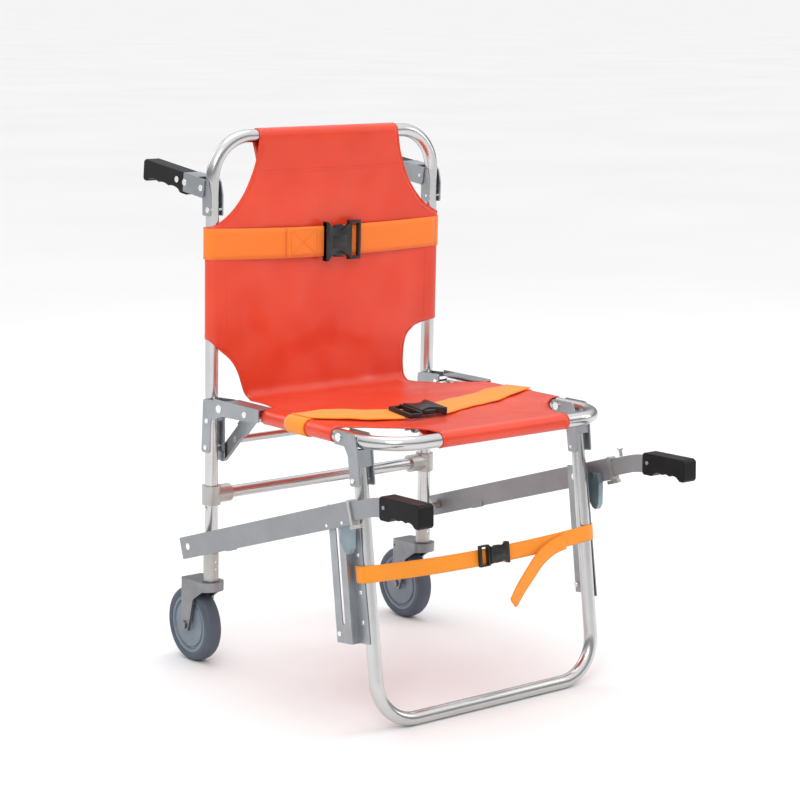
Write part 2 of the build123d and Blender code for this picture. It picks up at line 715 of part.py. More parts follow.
def lift_bar():
    """A flat rectangular tube, closed behind, that the front handle slides in."""
    half = BAR_HEIGHT / 2
    body = bar_block(BAR_REAR, BAR_FRONT, -half, half, *BAR_X, corner=2.0)
    body -= bar_block(
        BAR_REAR + SHEET, BAR_FRONT + 1, -half + SHEET, half - SHEET, BAR_X[0] + SHEET, BAR_X[1] - SHEET
    )
    body += bar_block(92, 122, -half - 1.5, -half + 8, BAR_X[0] - 1.2, BAR_X[0] + 0.5)
    body -= cross_pin(*BAR_PIVOT, 255, 280, PIVOT_BOLT_R + RUN)
    body -= countersink(*BAR_PIVOT, BAR_X[1], clearance=2 * RUN)
    body -= cross_pin(*LATCH_PIVOT, 255, 265, LATCH_PIN_R)
    body += cross_pin(*SLOT_PIN, PIN_SPLIT_X + 0.2, BAR_X[0] + 0.5, PIN_SHOULDER_R)
    for s, t in BAR_RIVETS:
        body -= cross_pin(*bar_point(s, t), 265, 275, 2.5)
    return body


def bar_end_guide():
    """The collar at the bar's mouth that the handle slides through, with a tongue and a lip."""
    half = BAR_HEIGHT / 2
    room = INNER_HEIGHT / 2 + 0.3
    around = (BAR_X[0] - 1.6, BAR_X[1] + 1.0)
    within = (BAR_X[0] + SHEET, BAR_X[1] - SHEET)
    mouth = (INNER_X[0] - 0.3, INNER_X[1] + 0.3)
    guide = bar_block(BAR_FRONT, BAR_FRONT + 6, -half - 1.5, half + 1.5, *around, corner=2)
    guide += bar_block(BAR_FRONT - 22, BAR_FRONT + 2, -half + SHEET, -room + INNER_RISE, *within)
    lip = (BAR_X[0], BAR_X[0] + 7)
    guide += bar_block(BAR_FRONT - 11, BAR_FRONT + 15, -half - 7, -half - 1, *lip, corner=2)
    guide -= bar_block(BAR_FRONT - 12, BAR_FRONT, -half, -half + 1, BAR_X[0] - 1, BAR_X[0] + 8)
    low, high = -room + INNER_RISE, room + INNER_RISE
    return guide - bar_block(BAR_FRONT - 30, BAR_FRONT + 20, low, high, *mouth)


def bar_rivets():
    """Rivets flush with the bar's outer face, and the latch's pin."""
    flush = [cross_pin(*bar_point(s, t), BAR_X[1] - SHEET, BAR_X[1], 2.5) for s, t in BAR_RIVETS]
    pin = cross_pin(*LATCH_PIVOT, LATCH_X[0] - 1.0, BAR_X[0] + SHEET, LATCH_PIN_R)
    pin += cross_pin(*LATCH_PIVOT, LATCH_X[0] - 1.0, LATCH_X[0] - 0.2, 3.6)
    return Compound(children=[*flush, pin])


def latch_lever():
    """A pressed lever with two cheeks and a front web, hung on a pin inboard of the bar."""
    pin_y, pin_z = LATCH_PIVOT
    outline = (
        (pin_y + 10, pin_z + 5),
        (pin_y - 9, pin_z + 5),
        (pin_y - 15, pin_z - 12),
        (pin_y - 15, pin_z - 46),
        (pin_y - 9, pin_z - 57),
        (pin_y - 1, pin_z - 54),
        (pin_y + 11, pin_z - 40),
    )
    body = side_plate(outline, *LATCH_X, corner=3.5)
    inset = (
        (pin_y + 16, pin_z + 10),
        (pin_y - 7.5, pin_z + 10),
        (pin_y - 13, pin_z - 12),
        (pin_y - 13, pin_z - 45.5),
        (pin_y - 8, pin_z - 54.5),
        (pin_y - 1, pin_z - 51.5),
        (pin_y + 16, pin_z - 32),
    )
    body -= side_plate(inset, LATCH_X[0] + 1.6, LATCH_X[1] - 1.6)
    return body - cross_pin(pin_y, pin_z, 230, 270, LATCH_PIN_R + RUN)


def latch_spring():
    """The latch's torsion spring, as its outer sleeve round the pin."""
    low, high = LATCH_X[0] + 1.9, LATCH_X[1] - 1.9
    spring = cross_pin(*LATCH_PIVOT, low, high, 4.4)
    return spring - cross_pin(*LATCH_PIVOT, low - 1, high + 1, LATCH_PIN_R + 0.3)


# ---------------------------------------------------------------- front handles

INNER_RISE = 1.3
STRAIGHT_END = 501.0
INNER_TAIL = 268.0
BEND_LENGTH_R = 145.0
TONGUE_LOW, TONGUE_HIGH = -5.0, 12.0
SCREW_R = 3.0


def handle_centre():
    """The centre line of the sliding bar: straight, then one easy bend to the grip's slope."""
    start = bar_point(INNER_TAIL, INNER_RISE)
    knee = bar_point(STRAIGHT_END, INNER_RISE)
    tilt = radians(BAR_SLOPE)
    arc = JernArc(knee, (-cos(tilt), sin(tilt)), BEND_LENGTH_R, BAR_SLOPE - GRIP_SLOPE)
    return start, knee, arc


def grip_point(s, t):
    """A point in the grip's own directions, from the rear end of the grip's axis."""
    _, _, arc = handle_centre()
    origin = ((arc @ 1).X, (arc @ 1).Y)
    return along(origin, GRIP_SLOPE, s + 2, t + GRIP_RISE)


def tongue_outline(end):
    """The bar's narrow tongue inside the grip, up to a distance along it."""
    low, high = TONGUE_LOW - GRIP_RISE, TONGUE_HIGH - GRIP_RISE
    return [grip_point(s, t) for s, t in ((-2, low), (end, low), (end, high), (-2, high))]


def handle_bar():
    """The sliding bar: a flat strip on edge that runs on into the grip."""
    start, knee, arc = handle_centre()
    rise = INNER_HEIGHT / 2
    tilt, turn = radians(BAR_SLOPE), radians((BAR_SLOPE + GRIP_SLOPE) / 2)
    start, knee = Vector(*start), Vector(*knee)
    lift = Vector(sin(tilt), cos(tilt)) * rise
    middle, middle_lift = arc @ 0.5, Vector(sin(turn), cos(turn)) * rise
    end_lift = Vector(sin(radians(GRIP_SLOPE)), cos(radians(GRIP_SLOPE))) * rise
    edges = [
        Line(start - lift, knee - lift),
        ThreePointArc(knee - lift, middle - middle_lift, arc @ 1 - end_lift),
        Line(arc @ 1 - end_lift, arc @ 1 + end_lift),
        ThreePointArc(arc @ 1 + end_lift, middle + middle_lift, knee + lift),
        Line(knee + lift, start + lift),
        Line(start + lift, start - lift),
    ]
    bar = extrude(Plane.YZ.offset(INNER_X[0]) * make_face(edges), amount=INNER_X[1] - INNER_X[0])
    bar += side_plate(tongue_outline(80), *INNER_X)
    screw = cross_pin(*grip_point(12, 0), 250.5, 281.5, SCREW_R)
    bar -= screw
    return Compound(children=[*bar.solids(), *screw.solids()])


def grip_outline(point, length):
    """A grip's side view: flat top, shallow finger waves below, a small heel at each end."""
    half = GRIP_HEIGHT / 2
    waves = 3
    low_start, low_end = 27.0, length - 17.0
    pitch = (low_end - low_start) / waves
    top = [point(0, half - 3), point(4, half), point(length - 5, half), point(length, half - 4)]
    nose = [point(length, -half - 1), point(length - 3, -half - 5)]
    nose += [point(length - 11, -half - 5), point(low_end, -half)]
    heel = [point(20, -half - 5), point(3, -half - 5), point(0, -half - 2), top[0]]
    corners = top + nose
    edges = [Line(a, b) for a, b in zip(corners, corners[1:])]
    here = nose[-1]
    for step in range(waves):
        after = point(low_end - (step + 1) * pitch, -half)
        crest = point(low_end - (step + 0.5) * pitch, -half + 2.2)
        edges.append(ThreePointArc(here, crest, after))
        here = after
    for corner in heel:
        edges.append(Line(here, corner))
        here = corner
    face = make_face(edges)
    return fillet(face.vertices(), 2.2)


def moulded(face):
    """A grip's body, centred on its bar, with its long edges rounded."""
    grip = extrude(Plane.YZ.offset(-GRIP_WIDTH / 2) * face, amount=GRIP_WIDTH)
    sides = grip.faces().sort_by(Axis.X)
    return fillet(sides[0].edges() + sides[-1].edges(), 2.0)


def front_grip():
    """A moulded grip over the end of the sliding bar."""
    middle = (INNER_X[0] + INNER_X[1]) / 2
    grip = Pos(middle, 0, 0) * moulded(grip_outline(grip_point, FRONT_GRIP_LENGTH))
    hollow = side_plate(tongue_outline(80), *INNER_X)
    return grip - hollow - cross_pin(*grip_point(12, 0), 240, 300, SCREW_R)


def lock_stud():
    """The sprung pull stud on top of the left-hand sliding bar."""
    y, z = bar_point(485.0, INNER_HEIGHT / 2 + INNER_RISE)
    middle = (INNER_X[0] + INNER_X[1]) / 2
    stud = Pos(0, 0, 6.0) * Cylinder(3.2, 11.0) + Pos(0, 0, 12.9) * Cylinder(5.0, 3.2)
    stud = chamfer(stud.edges().filter_by(GeomType.CIRCLE).sort_by(Axis.Z)[-1], 0.6)
    return Pos(middle, y, z) * Rot(-BAR_SLOPE + 3, 0, 0) * stud


# ---------------------------------------------------------------- top handles


def handle_point(a, b):
    """A point behind the handle's pivot by a and above it by b, in the handle's directions."""
    tilt = radians(HANDLE_SLOPE)
    y, z = HANDLE_PIVOT
    return (y + a * cos(tilt) - b * sin(tilt), z + a * sin(tilt) + b * cos(tilt))


ARM_OUT = (239.6, 241.8)
ARM_IN = (210.2, 212.4)
ARM_END, GRIP_START, TANG_END = 52.0, 44.0, 162.0


def top_handle_arm():
    """An inverted channel over the bracket's cheeks, and a tang that runs into the grip."""
    half = HANDLE_HEIGHT / 2
    corners = ((-8, -half + 4), (-9, half), (ARM_END, half), (ARM_END, -half), (-4, -half))
    cheek = [handle_point(a, b) for a, b in corners]
    arm = side_plate(cheek, *ARM_OUT, corner=2) + side_plate(cheek, *ARM_IN, corner=2)
    bridge = [
        handle_point(a, b)
        for a, b in ((14, half - 2.2), (14, half), (ARM_END, half), (ARM_END, half - 2.2))
    ]
    arm += side_plate(bridge, ARM_IN[0], ARM_OUT[1])
    for a in (0, 48):
        arm -= cross_pin(*handle_point(a, 0), 200, 250, 3.0)
    tang = [handle_point(a, b) for a, b in ((36, -9), (36, 9), (TANG_END, 9), (TANG_END, -9))]
    tang = side_plate(tang, HANDLE_X - 4, HANDLE_X + 4)
    for a in (48, 74):
        tang -= cross_pin(*handle_point(a, 0), 200, 250, 3.0)
    return Compound(children=[*arm.solids(), *tang.solids()])


def top_handle_pins():
    """The handle's two pivot pins, the rivet through its arm, and the grip's rivet."""
    pivot = rivet(*HANDLE_PIVOT, ARM_OUT[0] - 3.6, ARM_OUT[1], 3.0)
    pivot += cross_pin(*HANDLE_PIVOT, ARM_IN[0] - 1.4, ARM_IN[1] + 3.6, 3.0)
    arm = rivet(*handle_point(48, 0), ARM_IN[0] - 1.0, ARM_OUT[1], 3.0)
    grip = rivet(*handle_point(74, 0), HANDLE_X - 14.5, HANDLE_X + 14.0, 3.0, head=1.5)
    return Compound(children=[*pivot.solids(), *arm.solids(), *grip.solids()])


def top_grip():
    """The moulded grip on a top handle."""
    face = grip_outline(lambda s, t: handle_point(GRIP_START + s, t), TOP_GRIP_LENGTH)
    grip = Pos(HANDLE_X, 0, 0) * moulded(face)
    hollow = [handle_point(a, b) for a, b in ((30, -9), (30, 9), (TANG_END, 9), (TANG_END, -9))]
    grip -= side_plate(hollow, HANDLE_X - 4, HANDLE_X + 4)
    half = HANDLE_HEIGHT / 2
    for low, high in ((ARM_IN[0] - 10, ARM_IN[1] + 0.3), (ARM_OUT[0] - 0.3, ARM_OUT[1] + 10)):
        relief = [handle_point(a, b) for a, b in ((30, -40), (30, 40), (53, 40), (53, -40))]
        grip -= side_plate(relief, low, high)
    top = [handle_point(a, b) for a, b in ((30, half - 2.5), (30, 40), (53, 40), (53, half - 2.5))]
    grip -= side_plate(top, 200, 250)
    for a in (48, 74):
        grip -= cross_pin(*handle_point(a, 0), 200, 250, 3.0)
    return grip


# ---------------------------------------------------------------- casters


def caster_fork():
    """A die-cast swivel fork: round crown, square boss behind, two tapering cheeks, stem and axle."""
    rear = AXLE_Y + 12
    outline = (
        (-FORK_HALF, 147.4),
        (rear, 143.0),
        (rear, 120.0),
        (AXLE_Y + 13, AXLE_Z),
        (AXLE_Y + 9, AXLE_Z - 9),
        (AXLE_Y - 9, AXLE_Z - 9),
        (AXLE_Y - 13, AXLE_Z),
        (22.0, 112.0),
        (-4.0, 130.0),
        (-FORK_HALF, 132.0),
    )
    body = side_plate(outline, -FORK_HALF, FORK_HALF)
    plan = Circle(FORK_HALF) + Pos(0, rear / 2) * Rectangle(2 * FORK_HALF, rear)
    body &= extrude(Plane.XY.offset(40) * plan, amount=120)
    body = fillet(body.edges().filter_by(Axis.Z).sort_by(Axis.Y)[-2:], 5)
    inner = WHEEL_WIDTH / 2 + 1.8
    body -= Pos(0, 0, 65) * Box(2 * inner, 300, 130)
    body -= cross_pin(AXLE_Y, AXLE_Z, -inner, inner, WHEEL_R + 4)
    stem = Pos(0, 0, FORK_TOP_Z + 12) * Cylinder(STEM_R, 34)
    body += stem
    body += Pos(0, 0, FORK_TOP_Z - 1) * Cylinder(15, 2.6)
    bolt_half = FORK_HALF + 3
    axle = cross_pin(AXLE_Y, AXLE_Z, -bolt_half, bolt_half, 4)
    for side in (1, -1):
        ends = sorted((side * FORK_HALF, side * bolt_half))
        axle += cross_pin(AXLE_Y, AXLE_Z, *ends, 7)
    body -= axle
    body -= cross_pin(AXLE_Y + 5, 133, -30, -FORK_HALF + 2.5, 2)
    return Pos(REAR_X, 0, 0) * Compound(children=[*body.solids(), *axle.solids()])


HUB_R = 49.0


def wheel_hub():
    """The wheel's centre: a disc with a raised rim, a ring groove each side and a bearing bore."""
    half = WHEEL_WIDTH / 2
    section = [
        (4 + RUN, 0),
        (4 + RUN, half + 1.2),
        (10, half + 1.2),
        (12, half - 2.5),
        (38, half - 2.5),
        (39.5, half - 5.5),
        (42.5, half - 5.5),
        (44, half - 2.0),
        (HUB_R, half - 2.0),
        (HUB_R, 0),
    ]
    outline = section + [(r, -w) for r, w in reversed(section[1:-1])]
    return spin_wheel(outline)


def wheel_tread():
    """The soft tyre on the hub, with rounded shoulders."""
    half = WHEEL_WIDTH / 2
    section = [(HUB_R, half - 1.0), (56, half), (60.5, half - 2.5)]
    section += [(62.8, half - 6.5), (WHEEL_R, half - 11)]
    outline = section + [(r, -w) for r, w in reversed(section)]
    return spin_wheel(outline)


def spin_wheel(outline):
    """Turn a section of (radius, width) points round the axle."""
    points = [(w, r) for r, w in outline]
    face = make_face(Polyline(*points, close=True))
    wheel = revolve(face, axis=Axis.X)
    return Pos(REAR_X, AXLE_Y, AXLE_Z) * wheel


# ---------------------------------------------------------------- write every node


def drill(shape, *pins):
    """Cut the pins' holes out of a shape."""
    for pin in pins:
        shape -= pin
    return shape


def main():
    os.makedirs("parts", exist_ok=True)
    bolts = both(bar_pivot_bolt())
    rivets = both(frame_rivets())
    save("back_frame_tube", lean(drill(back_frame_tube(), *bolts.solids(), *rivets.solids())))
    save("rear_crossbar", lean(rear_crossbar()))
    save("crossbar_clamps", lean(both(crossbar_clamp())))
    save("seat_hinge_brackets", lean(both(seat_hinge_bracket())))
    save("strut_guides", lean(both(strut_guide())))
    save("top_handle_brackets", lean(both(top_handle_bracket())))
    save("caster_sleeves", lean(drill(both(caster_sleeve()), *rivets.solids())))
    save("bar_pivot_bolts", lean(bolts))
    save("bar_pivot_spacers", lean(both(bar_pivot_spacer())))
    save("frame_rivets", lean(rivets))
    save("back_panel", lean(back_panel()))
    save("chest_strap", lean(chest_strap()))
    save("chest_buckle", lean(chest_buckle()))

    save("seat_frame_tube", seat_frame_tube())
    save("seat_channels", both(seat_channel()))
    save("seat_pins", both(seat_pins()))
    save("seat_panel", seat_panel())
    save("lap_strap", lap_strap())
    save("lap_buckle", lap_buckle())

    save("fold_struts", both(fold_strut()))
    save("fold_release_bar", fold_release_bar())

    leg_fixings = both(leg_rivets())
    save("front_leg_tube", drill(front_leg_tube(), *leg_fixings.solids()))
    save("leg_brackets", both(leg_bracket()))
    save("leg_rivets", leg_fixings)
    save("leg_strap", leg_strap())
    save("leg_buckle", leg_buckle())

    for side, name in SIDES:
        save("slot_bracket_" + name, on_side(slot_bracket(), side))
        save("slot_pin_" + name, on_side(slot_pin(), side))
        save("lift_bar_" + name, on_side(lift_bar(), side))
        save("bar_end_guide_" + name, on_side(bar_end_guide(), side))
        save("bar_rivets_" + name, on_side(bar_rivets(), side))
        save("latch_lever_" + name, on_side(latch_lever(), side))
        save("latch_spring_" + name, on_side(latch_spring(), side))
        save("handle_bar_" + name, on_side(handle_bar(), side))
        save("front_grip_" + name, on_side(front_grip(), side))
        save("top_handle_arm_" + name, lean(on_side(top_handle_arm(), side)))
        save("top_handle_pins_" + name, lean(on_side(top_handle_pins(), side)))
        save("top_grip_" + name, lean(on_side(top_grip(), side)))
        save("caster_fork_" + name, lean(on_side(caster_fork(), side)))
        save("wheel_hub_" + name, lean(on_side(wheel_hub(), side)))
        save("wheel_tread_" + name, lean(on_side(wheel_tread(), side)))
    save("handle_lock_stud", lock_stud())


if __name__ == "__main__":
    main()
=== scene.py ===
import math

import bmesh
import bpy
from mathutils import Matrix, Vector, geometry, noise


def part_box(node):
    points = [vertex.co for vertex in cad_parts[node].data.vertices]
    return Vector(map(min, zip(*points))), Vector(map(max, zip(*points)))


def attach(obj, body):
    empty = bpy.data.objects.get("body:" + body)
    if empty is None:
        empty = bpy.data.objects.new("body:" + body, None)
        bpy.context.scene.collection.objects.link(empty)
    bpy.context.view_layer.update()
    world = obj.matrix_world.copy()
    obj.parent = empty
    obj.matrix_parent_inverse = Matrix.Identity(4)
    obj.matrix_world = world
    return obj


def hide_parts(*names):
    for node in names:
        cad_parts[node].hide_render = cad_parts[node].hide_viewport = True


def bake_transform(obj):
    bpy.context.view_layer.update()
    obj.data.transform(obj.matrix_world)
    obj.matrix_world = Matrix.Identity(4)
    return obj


# Looks of a folding stair chair: its one-piece cover, straps, buckles, stitching, springs and
# the finish of every metal, rubber and moulded part. Metres, X across (+X is the occupant's
# left), -Y ahead, Z up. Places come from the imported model.

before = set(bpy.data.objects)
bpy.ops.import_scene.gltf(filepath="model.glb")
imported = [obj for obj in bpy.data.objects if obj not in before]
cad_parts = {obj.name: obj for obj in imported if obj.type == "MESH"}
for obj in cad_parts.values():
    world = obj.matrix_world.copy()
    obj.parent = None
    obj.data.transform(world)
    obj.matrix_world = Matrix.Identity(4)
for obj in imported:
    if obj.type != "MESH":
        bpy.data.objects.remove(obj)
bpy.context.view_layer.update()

# ---------------------------------------------------------------- driving sizes

TUBE_R = 0.011
LEAN = math.radians(1.5)
LEAN_Z = 0.330

_, back_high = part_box("back_frame_tube")
rail_low, rail_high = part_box("seat_frame_tube")
bar_low, bar_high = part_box("rear_crossbar")
REAR_X = back_high.x - TUBE_R
RAIL_X = rail_high.x - TUBE_R
RAIL_Z = (rail_low.z + rail_high.z) / 2
BOW_Y = rail_low.y + TUBE_R
BACK_Y = (bar_low.y + bar_high.y) / 2 - math.sin(LEAN) * (LEAN_Z - (bar_low.z + bar_high.z) / 2)

CLOTH = 0.0015
CLOTH_R = TUBE_R + 0.0011
BACK_TOP_Z = 0.882
TOP_HEM = 0.060
TOP_HALF = 0.142
WIDE_TOP_Z, WIDE_LOW_Z = 0.737, 0.548
CREASE_Y, CREASE_Z = BACK_Y - 0.0165, 0.449
RAIL_CLOTH_REAR, RAIL_CLOTH_FRONT = BACK_Y - 0.157, BACK_Y - 0.346
FRONT_HALF = 0.128
WRAP = 2 * math.pi * CLOTH_R * 0.86
PATTERN_STEP = 0.0075

WEB = 0.0016
WEB_R = CLOTH_R + CLOTH / 2 + WEB / 2 + 0.0002
WIDE_WEB, NARROW_WEB = 0.051, 0.026
LEG_RAKE = 33.0 / 266.0


def leaned(x, y, z):
    """A point of the back frame, given upright with y from the tubes' plane, as it stands."""
    rise = z - LEAN_Z
    return Vector((
        x,
        BACK_Y + y * math.cos(LEAN) - rise * math.sin(LEAN),
        LEAN_Z + y * math.sin(LEAN) + rise * math.cos(LEAN),
    ))


# ---------------------------------------------------------------- materials


class Finish:
    """A procedural material: a Principled shader whose colour, roughness and bump come from nodes."""

    def __init__(self, name, roughness=0.5, metallic=0.0, coat=0.0, sheen=0.0, specular=0.5):
        self.material = bpy.data.materials.new(name)
        self.material.use_nodes = True
        self.nodes = self.material.node_tree.nodes
        self.links = self.material.node_tree.links
        self.shader = self.nodes["Principled BSDF"]
        self.shader.inputs["Roughness"].default_value = roughness
        self.shader.inputs["Metallic"].default_value = metallic
        self.shader.inputs["Coat Weight"].default_value = coat
        self.shader.inputs["Coat Roughness"].default_value = 0.18
        self.shader.inputs["Sheen Weight"].default_value = sheen
        self.shader.inputs["Specular IOR Level"].default_value = specular
        self.place = self.nodes.new("ShaderNodeTexCoord").outputs["Object"]
        self.normal = None

    def noise(self, scale, detail=4.0, stretch=(1, 1, 1)):
        mapping = self.nodes.new("ShaderNodeMapping")
        mapping.inputs["Scale"].default_value = stretch
        self.links.new(self.place, mapping.inputs["Vector"])
        texture = self.nodes.new("ShaderNodeTexNoise")
        texture.inputs["Scale"].default_value = scale
        texture.inputs["Detail"].default_value = detail
        self.links.new(mapping.outputs["Vector"], texture.inputs["Vector"])
        return texture.outputs["Fac"]

    def bands(self, scale, turn=(0, 0, 0), distortion=0.0):
        mapping = self.nodes.new("ShaderNodeMapping")
        mapping.inputs["Rotation"].default_value = turn
        self.links.new(self.place, mapping.inputs["Vector"])
        texture = self.nodes.new("ShaderNodeTexWave")
        texture.inputs["Scale"].default_value = scale
        texture.inputs["Distortion"].default_value = distortion
        self.links.new(mapping.outputs["Vector"], texture.inputs["Vector"])
        return texture.outputs["Fac"]

    def mix(self, a, b, operation="MULTIPLY"):
        node = self.nodes.new("ShaderNodeMath")
        node.operation = operation
        self.links.new(a, node.inputs[0])
        self.links.new(b, node.inputs[1])
        return node.outputs[0]

    def colour(self, factor, stops):
        ramp = self.nodes.new("ShaderNodeValToRGB")
        elements = ramp.color_ramp.elements
        while len(elements) < len(stops):
            elements.new(0.5)
        for element, (position, tint) in zip(elements, stops):
            element.position = position
            element.color = (*tint, 1.0)
        self.links.new(factor, ramp.inputs["Fac"])
        self.links.new(ramp.outputs["Color"], self.shader.inputs["Base Color"])
        return self

    def roughness(self, factor, low, high):
        spread = self.nodes.new("ShaderNodeMapRange")
        spread.inputs["To Min"].default_value = low
        spread.inputs["To Max"].default_value = high
        self.links.new(factor, spread.inputs["Value"])
        self.links.new(spread.outputs["Result"], self.shader.inputs["Roughness"])
        return self

    def bump(self, factor, strength, depth):
        node = self.nodes.new("ShaderNodeBump")
        node.inputs["Strength"].default_value = strength
        node.inputs["Distance"].default_value = depth
        self.links.new(factor, node.inputs["Height"])
        if self.normal is not None:
            self.links.new(self.normal, node.inputs["Normal"])
        self.normal = node.outputs["Normal"]
        self.links.new(self.normal, self.shader.inputs["Normal"])
        return self


def shades(tint, spread):
    """Three stops round a colour, darker to lighter."""
    dark = tuple(c * (1 - spread) for c in tint)
    light = tuple(min(1.0, c * (1 + spread)) for c in tint)
    return ((0.3, dark), (0.5, tint), (0.7, light))


def metal(name, tint, roughness, spread=0.08, grain=60.0, metallic=1.0, bump=0.04, stretch=(1, 1, 1)):
    finish = Finish(name, metallic=metallic)
    finish.colour(finish.noise(18.0), shades(tint, spread))
    finish.roughness(finish.noise(grain, stretch=stretch), roughness * 0.8, roughness * 1.25)
    finish.bump(finish.noise(grain * 12, 2.0, stretch), bump, 0.0002)
    return finish.material


def moulded(name, tint, roughness, grain=900.0, bump=0.25, spread=0.2, specular=0.5):
    finish = Finish(name, specular=specular)
    finish.colour(finish.noise(30.0), shades(tint, spread))
    finish.roughness(finish.noise(45.0), roughness * 0.85, roughness * 1.2)
    finish.bump(finish.noise(grain, 2.0), bump, 0.0003)
    return finish.material


def cover_finish():
    """Coated fabric: a scrim just visible under a smooth, glossy skin."""
    finish = Finish("coated_fabric", coat=0.18, sheen=0.03)
    finish.colour(finish.noise(7.0, 3.0), (
        (0.30, (0.70, 0.040, 0.008)),
        (0.52, (0.78, 0.050, 0.012)),
        (0.74, (0.83, 0.066, 0.020)),
    ))
    finish.roughness(finish.noise(6.0, 5.0), 0.24, 0.46)
    weft = finish.bands(420.0)
    warp = finish.bands(420.0, turn=(0, math.pi / 2, 0))
    finish.bump(finish.mix(weft, warp), 0.10, 0.0004)
    finish.bump(finish.noise(22.0, 4.0), 0.12, 0.004)
    finish.bump(finish.noise(5.5, 2.0), 0.35, 0.02)
    return finish.material


def webbing_finish(name, tint, along="X"):
    """Woven webbing: ribs across the strap, with a fine thread along it."""
    turn = {"X": (0, 0, 0), "Z": (0, math.pi / 2, 0), "Y": (0, 0, math.pi / 2)}[along]
    finish = Finish(name, sheen=0.25, specular=0.3)
    ribs = finish.bands(260.0, turn=turn, distortion=0.6)
    threads = finish.noise(1500.0, 2.0)
    finish.colour(finish.mix(ribs, threads, "ADD"), (
        (0.25, tuple(c * 0.80 for c in tint)),
        (0.60, tint),
        (1.00, tuple(min(1, c * 1.10) for c in tint)),
    ))
    finish.roughness(threads, 0.6, 0.85)
    finish.bump(ribs, 0.35, 0.0005)
    finish.bump(threads, 0.25, 0.0003)
    return finish.material


ORANGE = (0.90, 0.215, 0.022)
LIGHT_ORANGE = (0.93, 0.290, 0.015)

finishes = {
    "tube": metal("satin_aluminium", (0.60, 0.60, 0.595), 0.22, spread=0.03, grain=40.0),
    "sheet": metal("pressed_steel", (0.40, 0.42, 0.44), 0.40, spread=0.14),
    "bar": metal("grey_bar", (0.33, 0.34, 0.355), 0.48, spread=0.05, metallic=0.55),
    "cast": metal("cast_aluminium", (0.50, 0.49, 0.465), 0.38, spread=0.07, bump=0.25, metallic=0.85),
    "rivet": metal("bright_rivet", (0.86, 0.86, 0.85), 0.18, spread=0.04),
    "latch": metal("zinc_latch", (0.24, 0.31, 0.34), 0.36, spread=0.22, metallic=0.6),
    "fork": metal("diecast_zinc", (0.25, 0.255, 0.265), 0.32, spread=0.22, bump=0.2, metallic=0.9),
    "grip": moulded("grip_plastic", (0.005, 0.005, 0.006), 0.46, spread=0.3, specular=0.22),
    "buckle": moulded("buckle_plastic", (0.012, 0.012, 0.013), 0.34, grain=500.0, bump=0.12),
    "cover": cover_finish(),
    "webbing": webbing_finish("orange_webbing", ORANGE),
    "tread": moulded("wheel_rubber", (0.075, 0.095, 0.125), 0.55, grain=700.0, bump=0.3, spread=0.12),
    "hub": moulded("wheel_centre", (0.185, 0.230, 0.275), 0.42, grain=300.0, bump=0.1, spread=0.08),
}
side_webbing = webbing_finish("side_webbing", LIGHT_ORANGE)
tail_webbing = webbing_finish("tail_webbing", LIGHT_ORANGE, along="Z")
loop_webbing = webbing_finish("loop_webbing", LIGHT_ORANGE, along="Z")
thread_finish = moulded("stitching_thread", (0.66, 0.042, 0.010), 0.6, spread=0.2)
strap_thread = moulded("strap_thread", (0.62, 0.13, 0.012), 0.6, spread=0.2)

NODE_FINISH = {
    "back_frame_tube": "tube",
    "rear_crossbar": "tube",
    "seat_frame_tube": "tube",
    "front_leg_tube": "tube",
    "fold_release_bar": "tube",
    "crossbar_clamps": "cast",
    "caster_sleeves": "cast",
    "bar_end_guide": "cast",
    "bar_pivot_spacers": "cast",
    "leg_brackets": "sheet",
    "seat_hinge_brackets": "sheet",
    "seat_channels": "sheet",
    "strut_guides": "sheet",
    "fold_struts": "sheet",
    "top_handle_brackets": "sheet",
    "top_handle_arm": "sheet",
    "slot_bracket": "sheet",
    "lift_bar": "bar",
    "handle_bar": "bar",
    "bar_pivot_bolts": "rivet",
    "frame_rivets": "rivet",
    "seat_pins": "rivet",
    "leg_rivets": "rivet",
    "bar_rivets": "rivet",
    "slot_pin": "rivet",
    "top_handle_pins": "rivet",
    "handle_lock_stud": "rivet",
    "latch_spring": "rivet",
    "latch_lever": "latch",
    "caster_fork": "fork",
    "front_grip": "grip",
    "top_grip": "grip",
    "wheel_tread": "tread",
    "wheel_hub": "hub",
    "chest_buckle": "buckle",
    "lap_buckle": "buckle",
    "leg_buckle": "buckle",
    "back_panel": "cover",
    "seat_panel": "cover",
    "chest_strap": "webbing",
    "lap_strap": "webbing",
    "leg_strap": "webbing",
}


def dress(obj, material):
    obj.data.materials.clear()
    obj.data.materials.append(material)


for name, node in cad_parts.items():
    base = name.removesuffix("_left").removesuffix("_right")
    dress(node, finishes[NODE_FINISH[base]])

# ---------------------------------------------------------------- mesh helpers


def mesh_object(name, points, faces, material, smooth=True):
    mesh = bpy.data.meshes.new(name)
    mesh.from_pydata([tuple(p) for p in points], [], faces)
    mesh.update()
    obj = bpy.data.objects.new(name, mesh)
    bpy.context.scene.collection.objects.link(obj)
    mesh.materials.append(material)
    if smooth:
        mesh.polygons.foreach_set("use_smooth", [True] * len(mesh.polygons))
    return obj


def freeze(obj):
    """Put the result of an object's modifiers into its mesh."""
    graph = bpy.context.evaluated_depsgraph_get()
    mesh = bpy.data.meshes.new_from_object(obj.evaluated_get(graph))
    obj.modifiers.clear()
    obj.data = mesh
    return obj


def thicken(obj, thickness, offset=0.0):
    solid = obj.modifiers.new("thickness", "SOLIDIFY")
    solid.thickness = thickness
    solid.offset = offset
    return freeze(obj)


